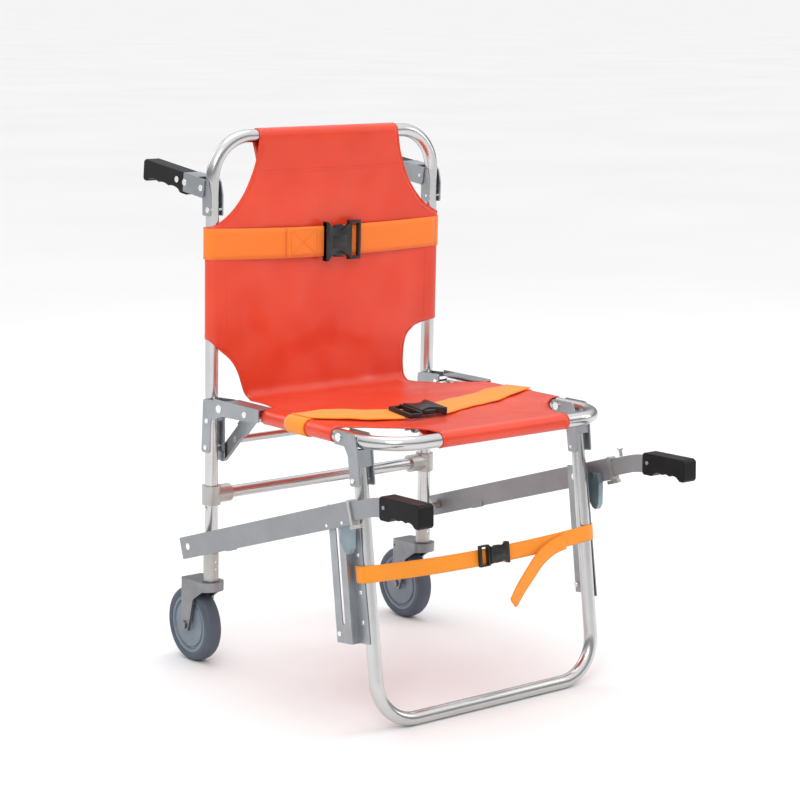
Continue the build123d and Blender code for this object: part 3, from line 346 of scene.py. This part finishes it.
def rounded_path(corners, radii, step):
    """Points along straight runs in a plane, with a radius at each inner corner."""
    path = [Vector(corners[0])]
    for before, corner, after, radius in zip(corners, corners[1:], corners[2:], radii):
        corner = Vector(corner)
        back, ahead = (Vector(before) - corner).normalized(), (Vector(after) - corner).normalized()
        half = math.acos(max(-1.0, min(1.0, back.dot(ahead)))) / 2
        reach = radius / math.tan(half)
        centre = corner + (back + ahead).normalized() * (radius / math.sin(half))
        first, last = corner + back * reach - centre, corner + ahead * reach - centre
        turn = math.pi - 2 * half
        pieces = max(2, math.ceil(turn / 0.12))
        for i in range(pieces + 1):
            share = i / pieces
            a = math.sin((1 - share) * turn) / math.sin(turn)
            b = math.sin(share * turn) / math.sin(turn)
            path.append(centre + first * a + last * b)
    path.append(Vector(corners[-1]))
    dense = [path[0]]
    for point in path[1:]:
        gap = (point - dense[-1]).length
        if gap < 1e-7:
            continue
        start = dense[-1]
        pieces = max(1, math.ceil(gap / step))
        dense += [start.lerp(point, (i + 1) / pieces) for i in range(pieces)]
    return dense


class Line:
    """A polyline measured along its length."""

    def __init__(self, points):
        self.points = points
        self.stations = [0.0]
        for a, b in zip(points, points[1:]):
            self.stations.append(self.stations[-1] + (b - a).length)
        self.length = self.stations[-1]

    def at(self, s):
        """The point and the direction at a distance along the line."""
        s = max(0.0, min(self.length, s))
        low, high = 0, len(self.points) - 1
        while high - low > 1:
            middle = (low + high) // 2
            if self.stations[middle] <= s:
                low = middle
            else:
                high = middle
        span = self.stations[high] - self.stations[low]
        share = (s - self.stations[low]) / span
        point = self.points[low].lerp(self.points[high], share)
        return point, (self.points[high] - self.points[low]).normalized()

    def nearest(self, target, first=0.0):
        """The distance along the line, from a first station on, of the point nearest to a target."""
        inside = [i for i, s in enumerate(self.stations) if s >= first]
        return self.stations[min(inside, key=lambda i: (self.points[i] - target).length)]


def smooth_step(low, high, value):
    t = max(0.0, min(1.0, (value - low) / (high - low)))
    return t * t * (3 - 2 * t)


def ribbon(name, points, across, width, thickness, material, columns=6):
    """A strap: points along its middle, and the direction across it at each point."""
    verts, faces = [], []
    for point, side in zip(points, across):
        side = side.normalized()
        for i in range(columns + 1):
            verts.append(point + side * width * (i / columns - 0.5))
    row = columns + 1
    for j in range(len(points) - 1):
        for i in range(columns):
            a = j * row + i
            faces.append((a, a + 1, a + row + 1, a + row))
    return thicken(mesh_object(name, verts, faces, material), thickness)


def smooth_line(points, count):
    """A Catmull-Rom curve through points, as Vectors."""
    points = [Vector(p) for p in points]
    padded = [2 * points[0] - points[1], *points, 2 * points[-1] - points[-2]]
    result = []
    for i in range(len(points) - 1):
        a, b, c, d = padded[i:i + 4]
        for j in range(count):
            t = j / count
            result.append(
                0.5 * (2 * b + (c - a) * t + (2 * a - 5 * b + 4 * c - d) * t**2
                       + (3 * b - a - 3 * c + d) * t**3)
            )
    return result + [points[-1]]


def stitches(name, line, material, pitch=0.0042, length=0.0030, radius=0.00032):
    """A row of short threads along a line of points, each a slim six-sided lozenge."""
    track = Line(line)
    verts, faces = [], []
    for k in range(int(track.length / pitch)):
        start, ahead = track.at(k * pitch)
        end, _ = track.at(k * pitch + length)
        side = ahead.orthogonal().normalized()
        other = ahead.cross(side)
        base = len(verts)
        verts.append(start)
        for share in (0.2, 0.8):
            centre = start.lerp(end, share)
            for i in range(5):
                angle = 2 * math.pi * i / 5
                verts.append(centre + (side * math.cos(angle) + other * math.sin(angle)) * radius)
        verts.append(end)
        for i in range(5):
            j = (i + 1) % 5
            faces.append((base, base + 1 + j, base + 1 + i))
            faces.append((base + 1 + i, base + 1 + j, base + 6 + j, base + 6 + i))
            faces.append((base + 11, base + 6 + i, base + 6 + j))
    return mesh_object(name, verts, faces, material)


def rod(name, points, radius, material, sides=8):
    """A round welt or wire along points, as a mesh with closed ends."""
    verts, faces = [], []
    count = len(points)
    previous = None
    for i, point in enumerate(points):
        tangent = (points[min(i + 1, count - 1)] - points[max(i - 1, 0)]).normalized()
        side = previous - tangent * previous.dot(tangent) if previous else tangent.orthogonal()
        side.normalize()
        previous = side
        other = tangent.cross(side)
        for k in range(sides):
            angle = 2 * math.pi * k / sides
            verts.append(point + (side * math.cos(angle) + other * math.sin(angle)) * radius)
    for i in range(count - 1):
        for k in range(sides):
            a, b = i * sides + k, i * sides + (k + 1) % sides
            faces.append((a, b, b + sides, a + sides))
    faces.append(tuple(reversed(range(sides))))
    faces.append(tuple(range((count - 1) * sides, count * sides)))
    return mesh_object(name, verts, faces, material)


# ---------------------------------------------------------------- cover


def tangent_meet(outside, centre, radius, side, level, axis):
    """Where the line from a point, tangent to a circle, crosses a level of one coordinate."""
    reach = centre - outside
    angle = math.atan2(reach.y, reach.x) + side * math.asin(radius / reach.length)
    run = Vector((math.cos(angle), math.sin(angle)))
    distance = (level - outside[axis]) / run[axis]
    return outside + run * distance


def cover_line():
    """The cover's middle line in the (y, z) plane, from the back flap's hem to the front hem."""
    def upright(y, z):
        spot = leaned(0, y, z)
        return Vector((spot.y, spot.z))

    flap = Vector((-CLOTH_R + 0.0022, BACK_TOP_Z - TOP_HEM))
    top_rear = tangent_meet(flap, Vector((0, BACK_TOP_Z)), CLOTH_R, -1, BACK_TOP_Z + CLOTH_R, 1)
    top_level = RAIL_Z + CLOTH_R
    hem = Vector((BOW_Y + 0.050, top_level - 0.0040))
    under = tangent_meet(hem, Vector((BOW_Y, RAIL_Z)), CLOTH_R, 1, BOW_Y - CLOTH_R, 0)
    corners = [
        upright(flap.x, flap.y),
        upright(top_rear.x, top_rear.y),
        upright(-CLOTH_R, BACK_TOP_Z + CLOTH_R),
        Vector((CREASE_Y, CREASE_Z)),
        Vector((RAIL_CLOTH_REAR, top_level)),
        Vector((BOW_Y - CLOTH_R, top_level)),
        under,
        hem,
    ]
    return Line(rounded_path(corners, (CLOTH_R, CLOTH_R, 0.016, 0.30, CLOTH_R, CLOTH_R), 0.004))


middle = cover_line()


def back_station(z):
    """How far along the cover a height on the back is."""
    spot = leaned(0, -CLOTH_R, z)
    return middle.nearest(Vector((spot.y, spot.z)), first=0.075)


def seat_station(y):
    return middle.nearest(Vector((y, RAIL_Z + CLOTH_R)), first=S_CREASE)


S_CREASE = middle.nearest(Vector((CREASE_Y, CREASE_Z)))
S_TOP = back_station(BACK_TOP_Z)
S_WIDE_TOP, S_WIDE_LOW = back_station(WIDE_TOP_Z), back_station(WIDE_LOW_Z)
S_RAIL_REAR, S_RAIL_FRONT = seat_station(RAIL_CLOTH_REAR), seat_station(RAIL_CLOTH_FRONT)
S_BOW = seat_station(BOW_Y)


def fine_station(z):
    """The distance along the cover of a height on the back's straight run."""
    return S_WIDE_TOP + (WIDE_TOP_Z - z) * (S_WIDE_LOW - S_WIDE_TOP) / (WIDE_TOP_Z - WIDE_LOW_Z)


def tube_half(s):
    """Half the distance between the tubes that the cover wraps."""
    return REAR_X + (RAIL_X - REAR_X) * smooth_step(S_WIDE_LOW, S_RAIL_REAR, s)


def sag(w, s):
    """How far the cloth lies behind the straight line between its tubes."""
    share = abs(w) / tube_half(s)
    if share >= 1:
        return 0.0
    held = (1 - share**2) ** 0.8
    back = smooth_step(S_TOP + 0.01, S_WIDE_LOW - 0.04, s) * (1 - smooth_step(S_WIDE_LOW + 0.02, S_CREASE, s))
    seat = smooth_step(S_CREASE - 0.01, S_RAIL_REAR + 0.03, s)
    seat *= 1 - smooth_step(S_RAIL_FRONT, S_BOW - 0.01, s)
    folds = noise.fractal(Vector((w * 7, s * 5.0, 0.3)), 0.6, 2.0, 3)
    pull = math.sin(s * 46 - abs(w) * 30) * (1 - smooth_step(0.0, 0.085, abs(s - S_WIDE_LOW - 0.03)))
    quiet = 1 - smooth_step(0.7, 1.0, share)
    free = smooth_step(S_TOP + 0.01, S_TOP + 0.07, s) * (1 - smooth_step(S_BOW - 0.05, S_BOW - 0.01, s))
    return 0.007 * held * back + 0.006 * held * seat + free * quiet * (0.0036 * folds + 0.0014 * pull)


def cover_point(w, s, lift=0.0):
    """Where a point of the flat pattern is on the chair, w across and s along."""
    (y, z), ahead = middle.at(s)
    out = Vector((ahead.y, -ahead.x))
    side = 1 if w > 0 else -1
    beyond = abs(w) - tube_half(s)
    if beyond <= 0:
        x, depth = abs(w), sag(w, s) - lift
    else:
        angle = beyond / CLOTH_R
        radius = CLOTH_R + lift
        x = tube_half(s) + radius * math.sin(angle)
        depth = CLOTH_R - radius * math.cos(angle)
    return Vector((side * x, y - out.x * depth, z - out.y * depth))


def arc_points(start, end, bow, power, count):
    """A scooped edge between two points of the pattern, bowed towards the middle line."""
    points = []
    for i in range(1, count):
        angle = math.pi / 2 * i / count
        across = math.sin(angle) ** (2 / power)
        along = 1 - math.cos(angle) ** (2 / power)
        if bow == "first":
            across, along = 1 - math.cos(angle) ** (2 / power), math.sin(angle) ** (2 / power)
        points.append((start[0] + (end[0] - start[0]) * across, start[1] + (end[1] - start[1]) * along))
    return points


ARMPITS = {
    -1: ((0.220, 0.540), (0.196, 0.521), (0.183, 0.501), (0.172, 0.470), (0.166, 0.454)),
    1: ((0.208, 0.550), (0.184, 0.542), (0.168, 0.525), (0.162, 0.490), (0.164, 0.454)),
}


def cover_outline(side):
    """Half of the flat pattern, from the back flap's hem to the front hem."""
    full_back, full_rail = REAR_X + WRAP, RAIL_X + WRAP
    outline = [(TOP_HALF, 0.0), (TOP_HALF, S_TOP - 0.006)]
    shoulder = (REAR_X + 0.018, S_WIDE_TOP - 0.001)
    outline += arc_points(outline[-1], shoulder, "first", 1.8, 22)
    outline += [shoulder, (full_back, S_WIDE_TOP + 0.012), (full_back, fine_station(0.564))]
    armpit = [(REAR_X + 0.013, 0.555), *ARMPITS[side]]
    outline += [tuple(p) for p in smooth_line([(x, fine_station(z)) for x, z in armpit], 6)]
    hip = outline[-1]
    rail = (RAIL_X - 0.010, S_RAIL_REAR - 0.006)
    outline += arc_points(hip, rail, "first", 1.6, 14)
    outline += [rail, (RAIL_X + 0.012, S_RAIL_REAR), (full_rail, S_RAIL_REAR + 0.004)]
    outline += [(full_rail, S_RAIL_FRONT - 0.004), (RAIL_X + 0.012, S_RAIL_FRONT)]
    knee = (RAIL_X - 0.008, S_RAIL_FRONT + 0.004)
    corner = (FRONT_HALF, S_BOW - 0.022)
    outline.append(knee)
    outline += arc_points(knee, corner, "last", 1.35, 16)
    outline += [corner, (FRONT_HALF, middle.length)]
    return outline


def spread_points(points, step):
    """The same open line with points no further apart than a step."""
    result = [tuple(points[0])]
    for a, b in zip(points, points[1:]):
        pieces = max(1, math.ceil(math.dist(a, b) / step))
        for i in range(1, pieces + 1):
            share = i / pieces
            result.append((a[0] + (b[0] - a[0]) * share, a[1] + (b[1] - a[1]) * share))
    return result


def inside_outline(point, outline):
    """Whether a point of the pattern is inside its outline."""
    x, y = point
    crossings = 0
    for (ax, ay), (bx, by) in zip(outline, outline[1:] + outline[:1]):
        if (ay > y) != (by > y) and x < ax + (y - ay) / (by - ay) * (bx - ax):
            crossings += 1
    return crossings % 2 == 1


def cut_pattern(outline, step):
    """Triangles that fill an outline, on a regular lattice inside it."""
    edge = spread_points(outline + outline[:1], step)[:-1]
    half_x = max(x for x, _ in edge)
    length = max(y for _, y in edge)
    lattice = []
    for j in range(1, int(length / step)):
        for i in range(-int(half_x / step), int(half_x / step) + 1):
            point = (i * step, j * step)
            near = min(abs(point[0] - x) + abs(point[1] - y) for x, y in edge)
            if near > step * 0.6 and inside_outline(point, edge):
                lattice.append(point)
    points = [Vector(p) for p in edge + lattice]
    loop = list(range(len(edge)))
    made = geometry.delaunay_2d_cdt(points, [], [loop], 1, 1e-7)
    return made[0], made[2]


halves = {side: cover_outline(side) for side in (1, -1)}
whole_outline = halves[1] + [(-x, s) for x, s in reversed(halves[-1])]
pattern, pattern_faces = cut_pattern(whole_outline, PATTERN_STEP)


def on_cover(obj):
    """Put the placement of a piece of cloth or stitching on the cover into its mesh."""
    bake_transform(obj)
    return obj


cover = mesh_object(
    "chair_cover", [cover_point(p.x, p.y) for p in pattern], pattern_faces, finishes["cover"]
)
cover = thicken(cover, CLOTH)
on_cover(cover)
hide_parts("back_panel", "seat_panel")


def pattern_line(points, lift):
    return [cover_point(w, s, lift) for w, s in points]


def inset_edge(outline, distance):
    """The right-hand edge of the pattern, moved towards the middle."""
    moved = []
    for before, here, after in zip(outline, outline[1:], outline[2:]):
        run = Vector((after[0] - before[0], after[1] - before[1])).normalized()
        moved.append((here[0] - run.y * distance, here[1] + run.x * distance))
    return moved


def between(points, first, last):
    return [p for p in points if first <= p[1] <= last]


def cover_trim():
    """Folded hems along the scooped edges, and the rows of stitching on the cover."""
    surface = CLOTH / 2
    seam_rows = []
    for offset in (0.0, 0.005):
        s = back_station(BACK_TOP_Z - TOP_HEM + 0.004) + offset
        half = TOP_HALF + 0.004
        seam_rows.append([(half * (i / 40 - 1), s) for i in range(81)])
    for side in (1, -1):
        for x, first, last in ((REAR_X - 0.019, S_WIDE_TOP + 0.006, S_WIDE_LOW - 0.004),
                               (RAIL_X - 0.019, S_RAIL_REAR + 0.006, S_RAIL_FRONT - 0.004)):
            seam_rows.append([(side * x, first + (last - first) * i / 40) for i in range(41)])
    s = seat_station(BOW_Y + 0.046)
    seam_rows.append([((FRONT_HALF + 0.010) * (i / 40 - 1), s) for i in range(81)])
    for name, first, last in (("shoulder", S_TOP + 0.004, S_WIDE_TOP - 0.004),
                              ("waist", S_WIDE_LOW + 0.006, S_RAIL_REAR - 0.010),
                              ("knee", S_RAIL_FRONT + 0.006, S_BOW - 0.024)):
        for side in (1, -1):
            smooth_edge = spread_points(halves[side], 0.004)
            edge = between(smooth_edge, first, last)
            hem = between(inset_edge(smooth_edge, 0.008), first, last)
            word = "left" if side > 0 else "right"
            welt = rod(
                f"{name}_hem_{word}",
                [cover_point(side * w, t) for w, t in edge],
                0.00125,
                finishes["cover"],
            )
            on_cover(welt)
            seam_rows.append([(side * w, t) for w, t in hem])
    for number, row in enumerate(seam_rows):
        thread = stitches(f"cover_stitching_{number}", pattern_line(row, surface), thread_finish)
        on_cover(thread)


cover_trim()

# ---------------------------------------------------------------- straps


def leg_axis(z):
    """The point of the front leg's axis at a height, at x = 0."""
    return Vector((0, LEG_LOW_Y + (z - TUBE_R) * LEG_RAKE, z))


leg_low, leg_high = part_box("front_leg_tube")
LEG_LOW_Y = leg_low.y + TUBE_R
LEG_X = leg_high.x - TUBE_R
LEG_DOWN = Vector((0, -LEG_RAKE, -1)).normalized()
LEG_OUT = Vector((0, -1, LEG_RAKE)).normalized()


def chest_z(x):
    """The height of the chest strap's middle, a little lower between the tubes."""
    share = x / REAR_X
    return 0.7037 - 0.0027 * share + 0.0053 * share**2


def chest_strap():
    """A loop of wide webbing round both rear tubes, over the cover."""
    points = []
    count = 60
    for i in range(count + 1):
        x = REAR_X * (1 - 2 * i / count)
        slack = 0.0016 * math.sin(math.pi * i / count)
        points.append(leaned(x, -WEB_R - slack, chest_z(x)))
    for side in (-1, 1):
        for i in range(1, 17):
            angle = math.pi * i / 16
            x = side * (REAR_X + WEB_R * math.sin(angle))
            y = -WEB_R * math.cos(angle) * (1 if side < 0 else -1)
            points.append(leaned(x, y, chest_z(side * REAR_X)))
        if side < 0:
            for i in range(1, 25):
                share = i / 24
                z = chest_z(-REAR_X) * (1 - share) + chest_z(REAR_X) * share
                points.append(leaned(REAR_X * (2 * share - 1), WEB_R, z))
    up = Vector((0, -math.sin(LEAN), math.cos(LEAN)))
    strap = ribbon("chest_webbing", points, [up] * len(points), WIDE_WEB, WEB, finishes["webbing"])
    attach(strap, "frame")
    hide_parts("chest_strap")
    doubled = [leaned(x / 1000, -WEB_R - WEB - 0.0022, chest_z(x / 1000)) for x in range(-90, -8, 4)]
    patch = ribbon(
        "chest_webbing_fold", doubled, [up] * len(doubled), WIDE_WEB - 0.001, WEB, finishes["webbing"]
    )
    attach(patch, "frame")
    box_x = (-0.082, -0.031)
    box_z = (chest_z(-0.056) - 0.021, chest_z(-0.056) + 0.021)
    front = -WEB_R - 1.5 * WEB - 0.0024
    corners = [(box_x[0], box_z[0]), (box_x[1], box_z[0]), (box_x[1], box_z[1]), (box_x[0], box_z[1])]
    runs = list(zip(corners, corners[1:] + corners[:1]))
    runs += [(corners[0], corners[2]), (corners[1], corners[3])]
    for number, (a, b) in enumerate(runs):
        ends = [leaned(a[0], front, a[1]), leaned(b[0], front, b[1])]
        row = stitches(f"chest_stitching_{number}", ends, strap_thread)
        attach(row, "frame")
    return strap, patch


def seat_surface(x, y, lift):
    """A point above the seat's cloth."""
    s = S_RAIL_FRONT + RAIL_CLOTH_FRONT - y
    return Vector((x, y, cover_point(x, s, lift).z))


def lap_strap():
    """Webbing looped round each rail, with a run that lies on the seat up to the buckle."""
    buckle_low, buckle_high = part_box("lap_buckle")
    buckle_y = (buckle_low.y + buckle_high.y) / 2
    loop_y = BACK_Y - 0.250
    forward = Vector((0, 1, 0))
    made = []
    for side, end_x, word in ((-1, buckle_low.x + 0.010, "right"), (1, buckle_high.x - 0.012, "left")):
        loop = []
        for i in range(25):
            angle = math.radians(-62 + 330 * i / 24)
            loop.append(Vector((
                side * (RAIL_X + WEB_R * math.sin(angle)), loop_y, RAIL_Z + WEB_R * math.cos(angle)
            )))
        ring = ribbon(f"lap_loop_{word}", loop, [forward] * len(loop), WIDE_WEB, WEB, loop_webbing)
        start, end = Vector((side * RAIL_X, loop_y)), Vector((end_x, buckle_y))
        heading = (end - start).normalized()
        square = Vector((-abs(heading.y) * side, abs(heading.x), 0))
        route, across = [], []
        for i in range(41):
            share = i / 40
            tilt = 0.13 * smooth_step(0.0, 0.3, share)
            route.append(seat_surface(*start.lerp(end, share), 0.0038 + 0.5 * WIDE_WEB * math.sin(tilt)))
            level = forward.lerp(square, smooth_step(0.0, 0.7, share)) if side < 0 else square
            across.append(level.normalized() + Vector((0, 0, math.tan(tilt))))
        run = ribbon(f"lap_webbing_{word}", route, across, WIDE_WEB - 0.003, WEB, side_webbing)
        for piece in (ring, run):
            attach(piece, "seat")
        made.append((ring, run, Line(route).length))
    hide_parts("lap_strap")
    return made


def leg_strap():
    """Narrow webbing across the fronts of the legs, sagging a little, with a loose tail."""
    low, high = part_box("leg_strap")
    strap_z = (low.z + high.z) / 2
    front = TUBE_R + 0.0003 + WEB / 2
    half = LEG_X + TUBE_R + 0.0029
    route = []
    for i in range(61):
        x = half * (1 - 2 * i / 60)
        drop = 0.007 * max(0.0, 1 - (x / LEG_X) ** 2)
        wrap = max(0.0, abs(x) - LEG_X) / (half - LEG_X)
        back = front - 0.006 * wrap**2
        route.append(leg_axis(strap_z) + LEG_OUT * back + LEG_DOWN * drop + Vector((x, 0, 0)))
    for side, place in ((1, 0), (-1, -1)):
        edge = route[place]
        ends = [edge - LEG_OUT * (0.004 * k) for k in (4, 3, 2, 1)]
        ends = [Vector((side * (half + 0.0008), p.y, p.z)) for p in ends]
        route = ends + route if side > 0 else route + ends[::-1]
    strap = ribbon("leg_webbing", route, [LEG_DOWN] * len(route), NARROW_WEB, WEB, side_webbing)
    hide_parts("leg_strap")
    root = leg_axis(strap_z - 0.006) + LEG_OUT * (front + 0.0030)
    tail_route = []
    for x, z, out in (
        (0.166, 0.000, 0.0), (0.140, -0.006, 0.0005), (0.108, -0.020, 0.006),
        (0.078, -0.042, 0.014), (0.056, -0.062, 0.018), (0.040, -0.082, 0.020),
    ):
        tail_route.append(root + Vector((x, 0, z)) + LEG_OUT * out)
    tail_route = smooth_line(tail_route, 8)
    across = []
    for i, point in enumerate(tail_route):
        ahead = tail_route[min(i + 1, len(tail_route) - 1)] - tail_route[max(i - 1, 0)]
        across.append(ahead.cross(LEG_OUT) + LEG_OUT * 0.002 * i / len(tail_route))
    tail = ribbon("leg_webbing_tail", tail_route, across, NARROW_WEB - 0.001, WEB, tail_webbing)
    for piece in (strap, tail):
        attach(piece, "front_leg")
    return strap, tail


chest, chest_fold = chest_strap()
lap = lap_strap()
leg, leg_tail = leg_strap()

# ---------------------------------------------------------------- buckles


def prism(mesh, outline, low, high):
    """Add an upright prism on a flat outline to a bmesh."""
    rings = []
    for level in (low, high):
        rings.append([mesh.verts.new((x, y, level)) for x, y in outline])
    bottom, top = rings
    mesh.faces.new(tuple(reversed(bottom)))
    mesh.faces.new(tuple(top))
    count = len(outline)
    for i in range(count):
        j = (i + 1) % count
        mesh.faces.new((bottom[i], bottom[j], top[j], top[i]))


def mirrored(half):
    """A closed outline from its upper half, mirrored in y."""
    return [*half, *[(x, -y) for x, y in reversed(half)]]


def buckle(name, place, length, width, height, body, node):
    """A side-release buckle: a waisted shell with its release tabs showing, and a slotted end."""
    half = width / 2
    shell_end = length * 0.16
    mesh = bmesh.new()
    shell = mirrored([
        (-length / 2, half),
        (-length * 0.42, half * 0.96),
        (-length * 0.33, half * 0.72),
        (-length * 0.20, half * 0.54),
        (-length * 0.06, half * 0.54),
        (shell_end - 0.08 * length, half * 0.74),
        (shell_end, half * 0.84),
    ])
    prism(mesh, shell, height * 0.18, height)
    prism(mesh, mirrored([(-length / 2, half), (-length / 2 + 0.07 * length, half)]), 0.0, height * 0.9)
    for side in (1, -1):
        tab = [
            (-length * 0.30, side * half * 0.50),
            (-length * 0.25, side * half * 0.80),
            (-length * 0.04, side * half * 0.84),
            (shell_end - 0.06 * length, side * half * 0.60),
        ]
        prism(mesh, tab if side < 0 else tab[::-1], height * 0.25, height * 0.78)
    prism(mesh, mirrored([(shell_end, half * 0.90), (shell_end + 0.07 * length, half * 0.94)]),
          height * 0.1, height * 0.85)
    for side in (1, -1):
        arm = [
            (shell_end, side * half * 0.84),
            (shell_end, side * half),
            (length / 2, side * half),
            (length / 2, side * half * 0.84),
        ]
        prism(mesh, arm if side < 0 else arm[::-1], height * 0.1, height * 0.7)
    prism(mesh, mirrored([(length / 2 - 0.07 * length, half * 0.9), (length / 2, half * 0.9)]),
          height * 0.1, height * 0.7)
    prism(mesh, mirrored([(-length * 0.33, half * 0.34), (shell_end - 0.10 * length, half * 0.26)]),
          height * 0.9, height * 1.04)
    bmesh.ops.recalc_face_normals(mesh, faces=mesh.faces)
    bmesh.ops.transform(mesh, matrix=place, verts=mesh.verts)
    data = bpy.data.meshes.new(name)
    mesh.to_mesh(data)
    mesh.free()
    obj = bpy.data.objects.new(name, data)
    bpy.context.scene.collection.objects.link(obj)
    data.materials.append(finishes["buckle"])
    bevel = obj.modifiers.new("edges", "BEVEL")
    bevel.width = min(0.0016, height * 0.12)
    bevel.segments = 2
    freeze(obj)
    obj.data.polygons.foreach_set("use_smooth", [True] * len(obj.data.polygons))
    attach(obj, body)
    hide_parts(node)
    return obj


def placed(origin, along, out):
    """A frame whose x runs along a strap and whose z stands out of it."""
    along, out = along.normalized(), out.normalized()
    side = out.cross(along)
    turn = Matrix((along, side, out)).transposed().to_4x4()
    return Matrix.Translation(origin) @ turn


BACK_OUT = Vector((0, -math.cos(LEAN), -math.sin(LEAN)))
buckle("chest_clip", placed(leaned(0.0215, -WEB_R - WEB * 0.4, chest_z(0.0215)), Vector((1, 0, 0)), BACK_OUT),
       0.074, 0.066, 0.013, "frame", "chest_buckle")
lap_low, lap_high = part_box("lap_buckle")
lap_middle = (lap_low + lap_high) / 2
lap_seat = seat_surface(lap_middle.x, lap_middle.y, 0.0055)
buckle("lap_clip", placed(lap_seat, Vector((-1, 0, 0)), Vector((0, -0.09, 1))),
       0.074, 0.056, 0.0125, "seat", "lap_buckle")
clip_low, clip_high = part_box("leg_buckle")
clip_middle = (clip_low + clip_high) / 2
clip_seat = leg_axis(clip_middle.z) + LEG_OUT * (TUBE_R + 0.0018) + Vector((clip_middle.x, 0, 0))
buckle("leg_clip", placed(clip_seat, Vector((-1, 0, 0)), LEG_OUT),
       0.058, 0.034, 0.011, "front_leg", "leg_buckle")

# ---------------------------------------------------------------- springs and rings


def spring(name, low, high, body, node):
    """A wire coil along X in the place of its plain sleeve."""
    wire = 0.00075
    centre = (low + high) / 2
    radius = (high.z - low.z) / 2 - wire
    turns = int((high.x - low.x) / (2.3 * wire))
    count = turns * 16
    points = []
    for i in range(count + 1):
        angle = 2 * math.pi * turns * i / count
        x = low.x + wire + (high.x - low.x - 2 * wire) * i / count
        points.append(Vector((x, centre.y + radius * math.cos(angle), centre.z + radius * math.sin(angle))))
    coil = rod(name, points, wire, finishes["rivet"], sides=6)
    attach(coil, body)
    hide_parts(node)


for word in ("left", "right"):
    spring(f"latch_coil_{word}", *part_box(f"latch_spring_{word}"), f"lift_bar_{word}", f"latch_spring_{word}")

# ---------------------------------------------------------------- floor, light, camera


def floor():
    size = 2000.0
    plane = mesh_object(
        "floor",
        [(-size, -size, 0), (size, -size, 0), (size, size, 0), (-size, size, 0)],
        [(0, 1, 2, 3)],
        None,
        smooth=False,
    )
    finish = Finish("pale_floor", roughness=0.75)
    finish.colour(finish.noise(0.6), ((0.3, (0.86, 0.86, 0.86)), (0.7, (0.90, 0.90, 0.90))))
    plane.data.materials.clear()
    plane.data.materials.append(finish.material)


def area_light(name, place, target, size, power):
    data = bpy.data.lights.new(name, "AREA")
    data.shape = "RECTANGLE"
    data.size, data.size_y = size
    data.energy = power
    light = bpy.data.objects.new(name, data)
    bpy.context.scene.collection.objects.link(light)
    light.location = place
    light.rotation_mode = "QUATERNION"
    light.rotation_quaternion = (Vector(target) - Vector(place)).to_track_quat("-Z", "Y")


CAMERA_PLACE = (-2.2743, -2.8754, 1.1129)
CAMERA_YAW, CAMERA_PITCH, CAMERA_ROLL = -38.3, 10.1, 0.23
CAMERA_LENS = 103.06


def camera():
    """A long lens ahead of the chair and to its right, a little above it."""
    yaw, pitch, roll = (math.radians(a) for a in (CAMERA_YAW, CAMERA_PITCH, CAMERA_ROLL))
    back = Vector((math.sin(yaw) * math.cos(pitch), -math.cos(yaw) * math.cos(pitch), math.sin(pitch)))
    level = Vector((math.cos(yaw), math.sin(yaw), 0))
    rise = back.cross(level)
    right = level * math.cos(roll) + rise * math.sin(roll)
    up = rise * math.cos(roll) - level * math.sin(roll)
    data = bpy.data.cameras.new("view")
    data.lens, data.sensor_width = CAMERA_LENS, 36.0
    data.clip_end = 5000.0
    eye = bpy.data.objects.new("view", data)
    bpy.context.scene.collection.objects.link(eye)
    turn = Matrix((right, up, back)).transposed().to_4x4()
    eye.matrix_world = Matrix.Translation(CAMERA_PLACE) @ turn
    bpy.context.scene.camera = eye


def surroundings():
    """A soft white room that darkens towards the horizon behind, so that bright metal has edges."""
    world = bpy.data.worlds.new("studio")
    world.use_nodes = True
    nodes, links = world.node_tree.nodes, world.node_tree.links
    place = nodes.new("ShaderNodeTexCoord")
    split = nodes.new("ShaderNodeSeparateXYZ")
    ramp = nodes.new("ShaderNodeValToRGB")
    links.new(place.outputs["Generated"], split.inputs["Vector"])
    links.new(split.outputs["Z"], ramp.inputs["Fac"])
    stops = ((0.0, 0.26), (0.22, 0.30), (0.48, 1.00), (1.0, 1.35))
    elements = ramp.color_ramp.elements
    while len(elements) < len(stops):
        elements.new(0.5)
    for element, (position, value) in zip(elements, stops):
        element.position = position
        element.color = (value, value, value * 1.01, 1.0)
    seen = nodes.new("ShaderNodeMix")
    seen.data_type = "RGBA"
    seen.inputs["B"].default_value = (0.95, 0.95, 0.95, 1.0)
    links.new(nodes.new("ShaderNodeLightPath").outputs["Is Camera Ray"], seen.inputs["Factor"])
    links.new(ramp.outputs["Color"], seen.inputs["A"])
    links.new(seen.outputs["Result"], nodes["Background"].inputs["Color"])
    nodes["Background"].inputs["Strength"].default_value = 1.0
    bpy.context.scene.world = world


floor()
surroundings()
area_light("key", (-2.6, -2.6, 3.0), (0, 0, 0.5), (1.6, 1.6), 42)
area_light("fill", (3.2, -1.6, 1.8), (0, 0, 0.5), (1.2, 2.0), 16)
area_light("top", (0.2, 0.6, 3.6), (0, 0, 0.5), (2.0, 2.0), 22)
area_light("rear", (-0.8, 3.4, 2.0), (0, 0, 0.6), (2.0, 1.4), 14)
camera()
bpy.context.scene.view_settings.view_transform = "Standard"
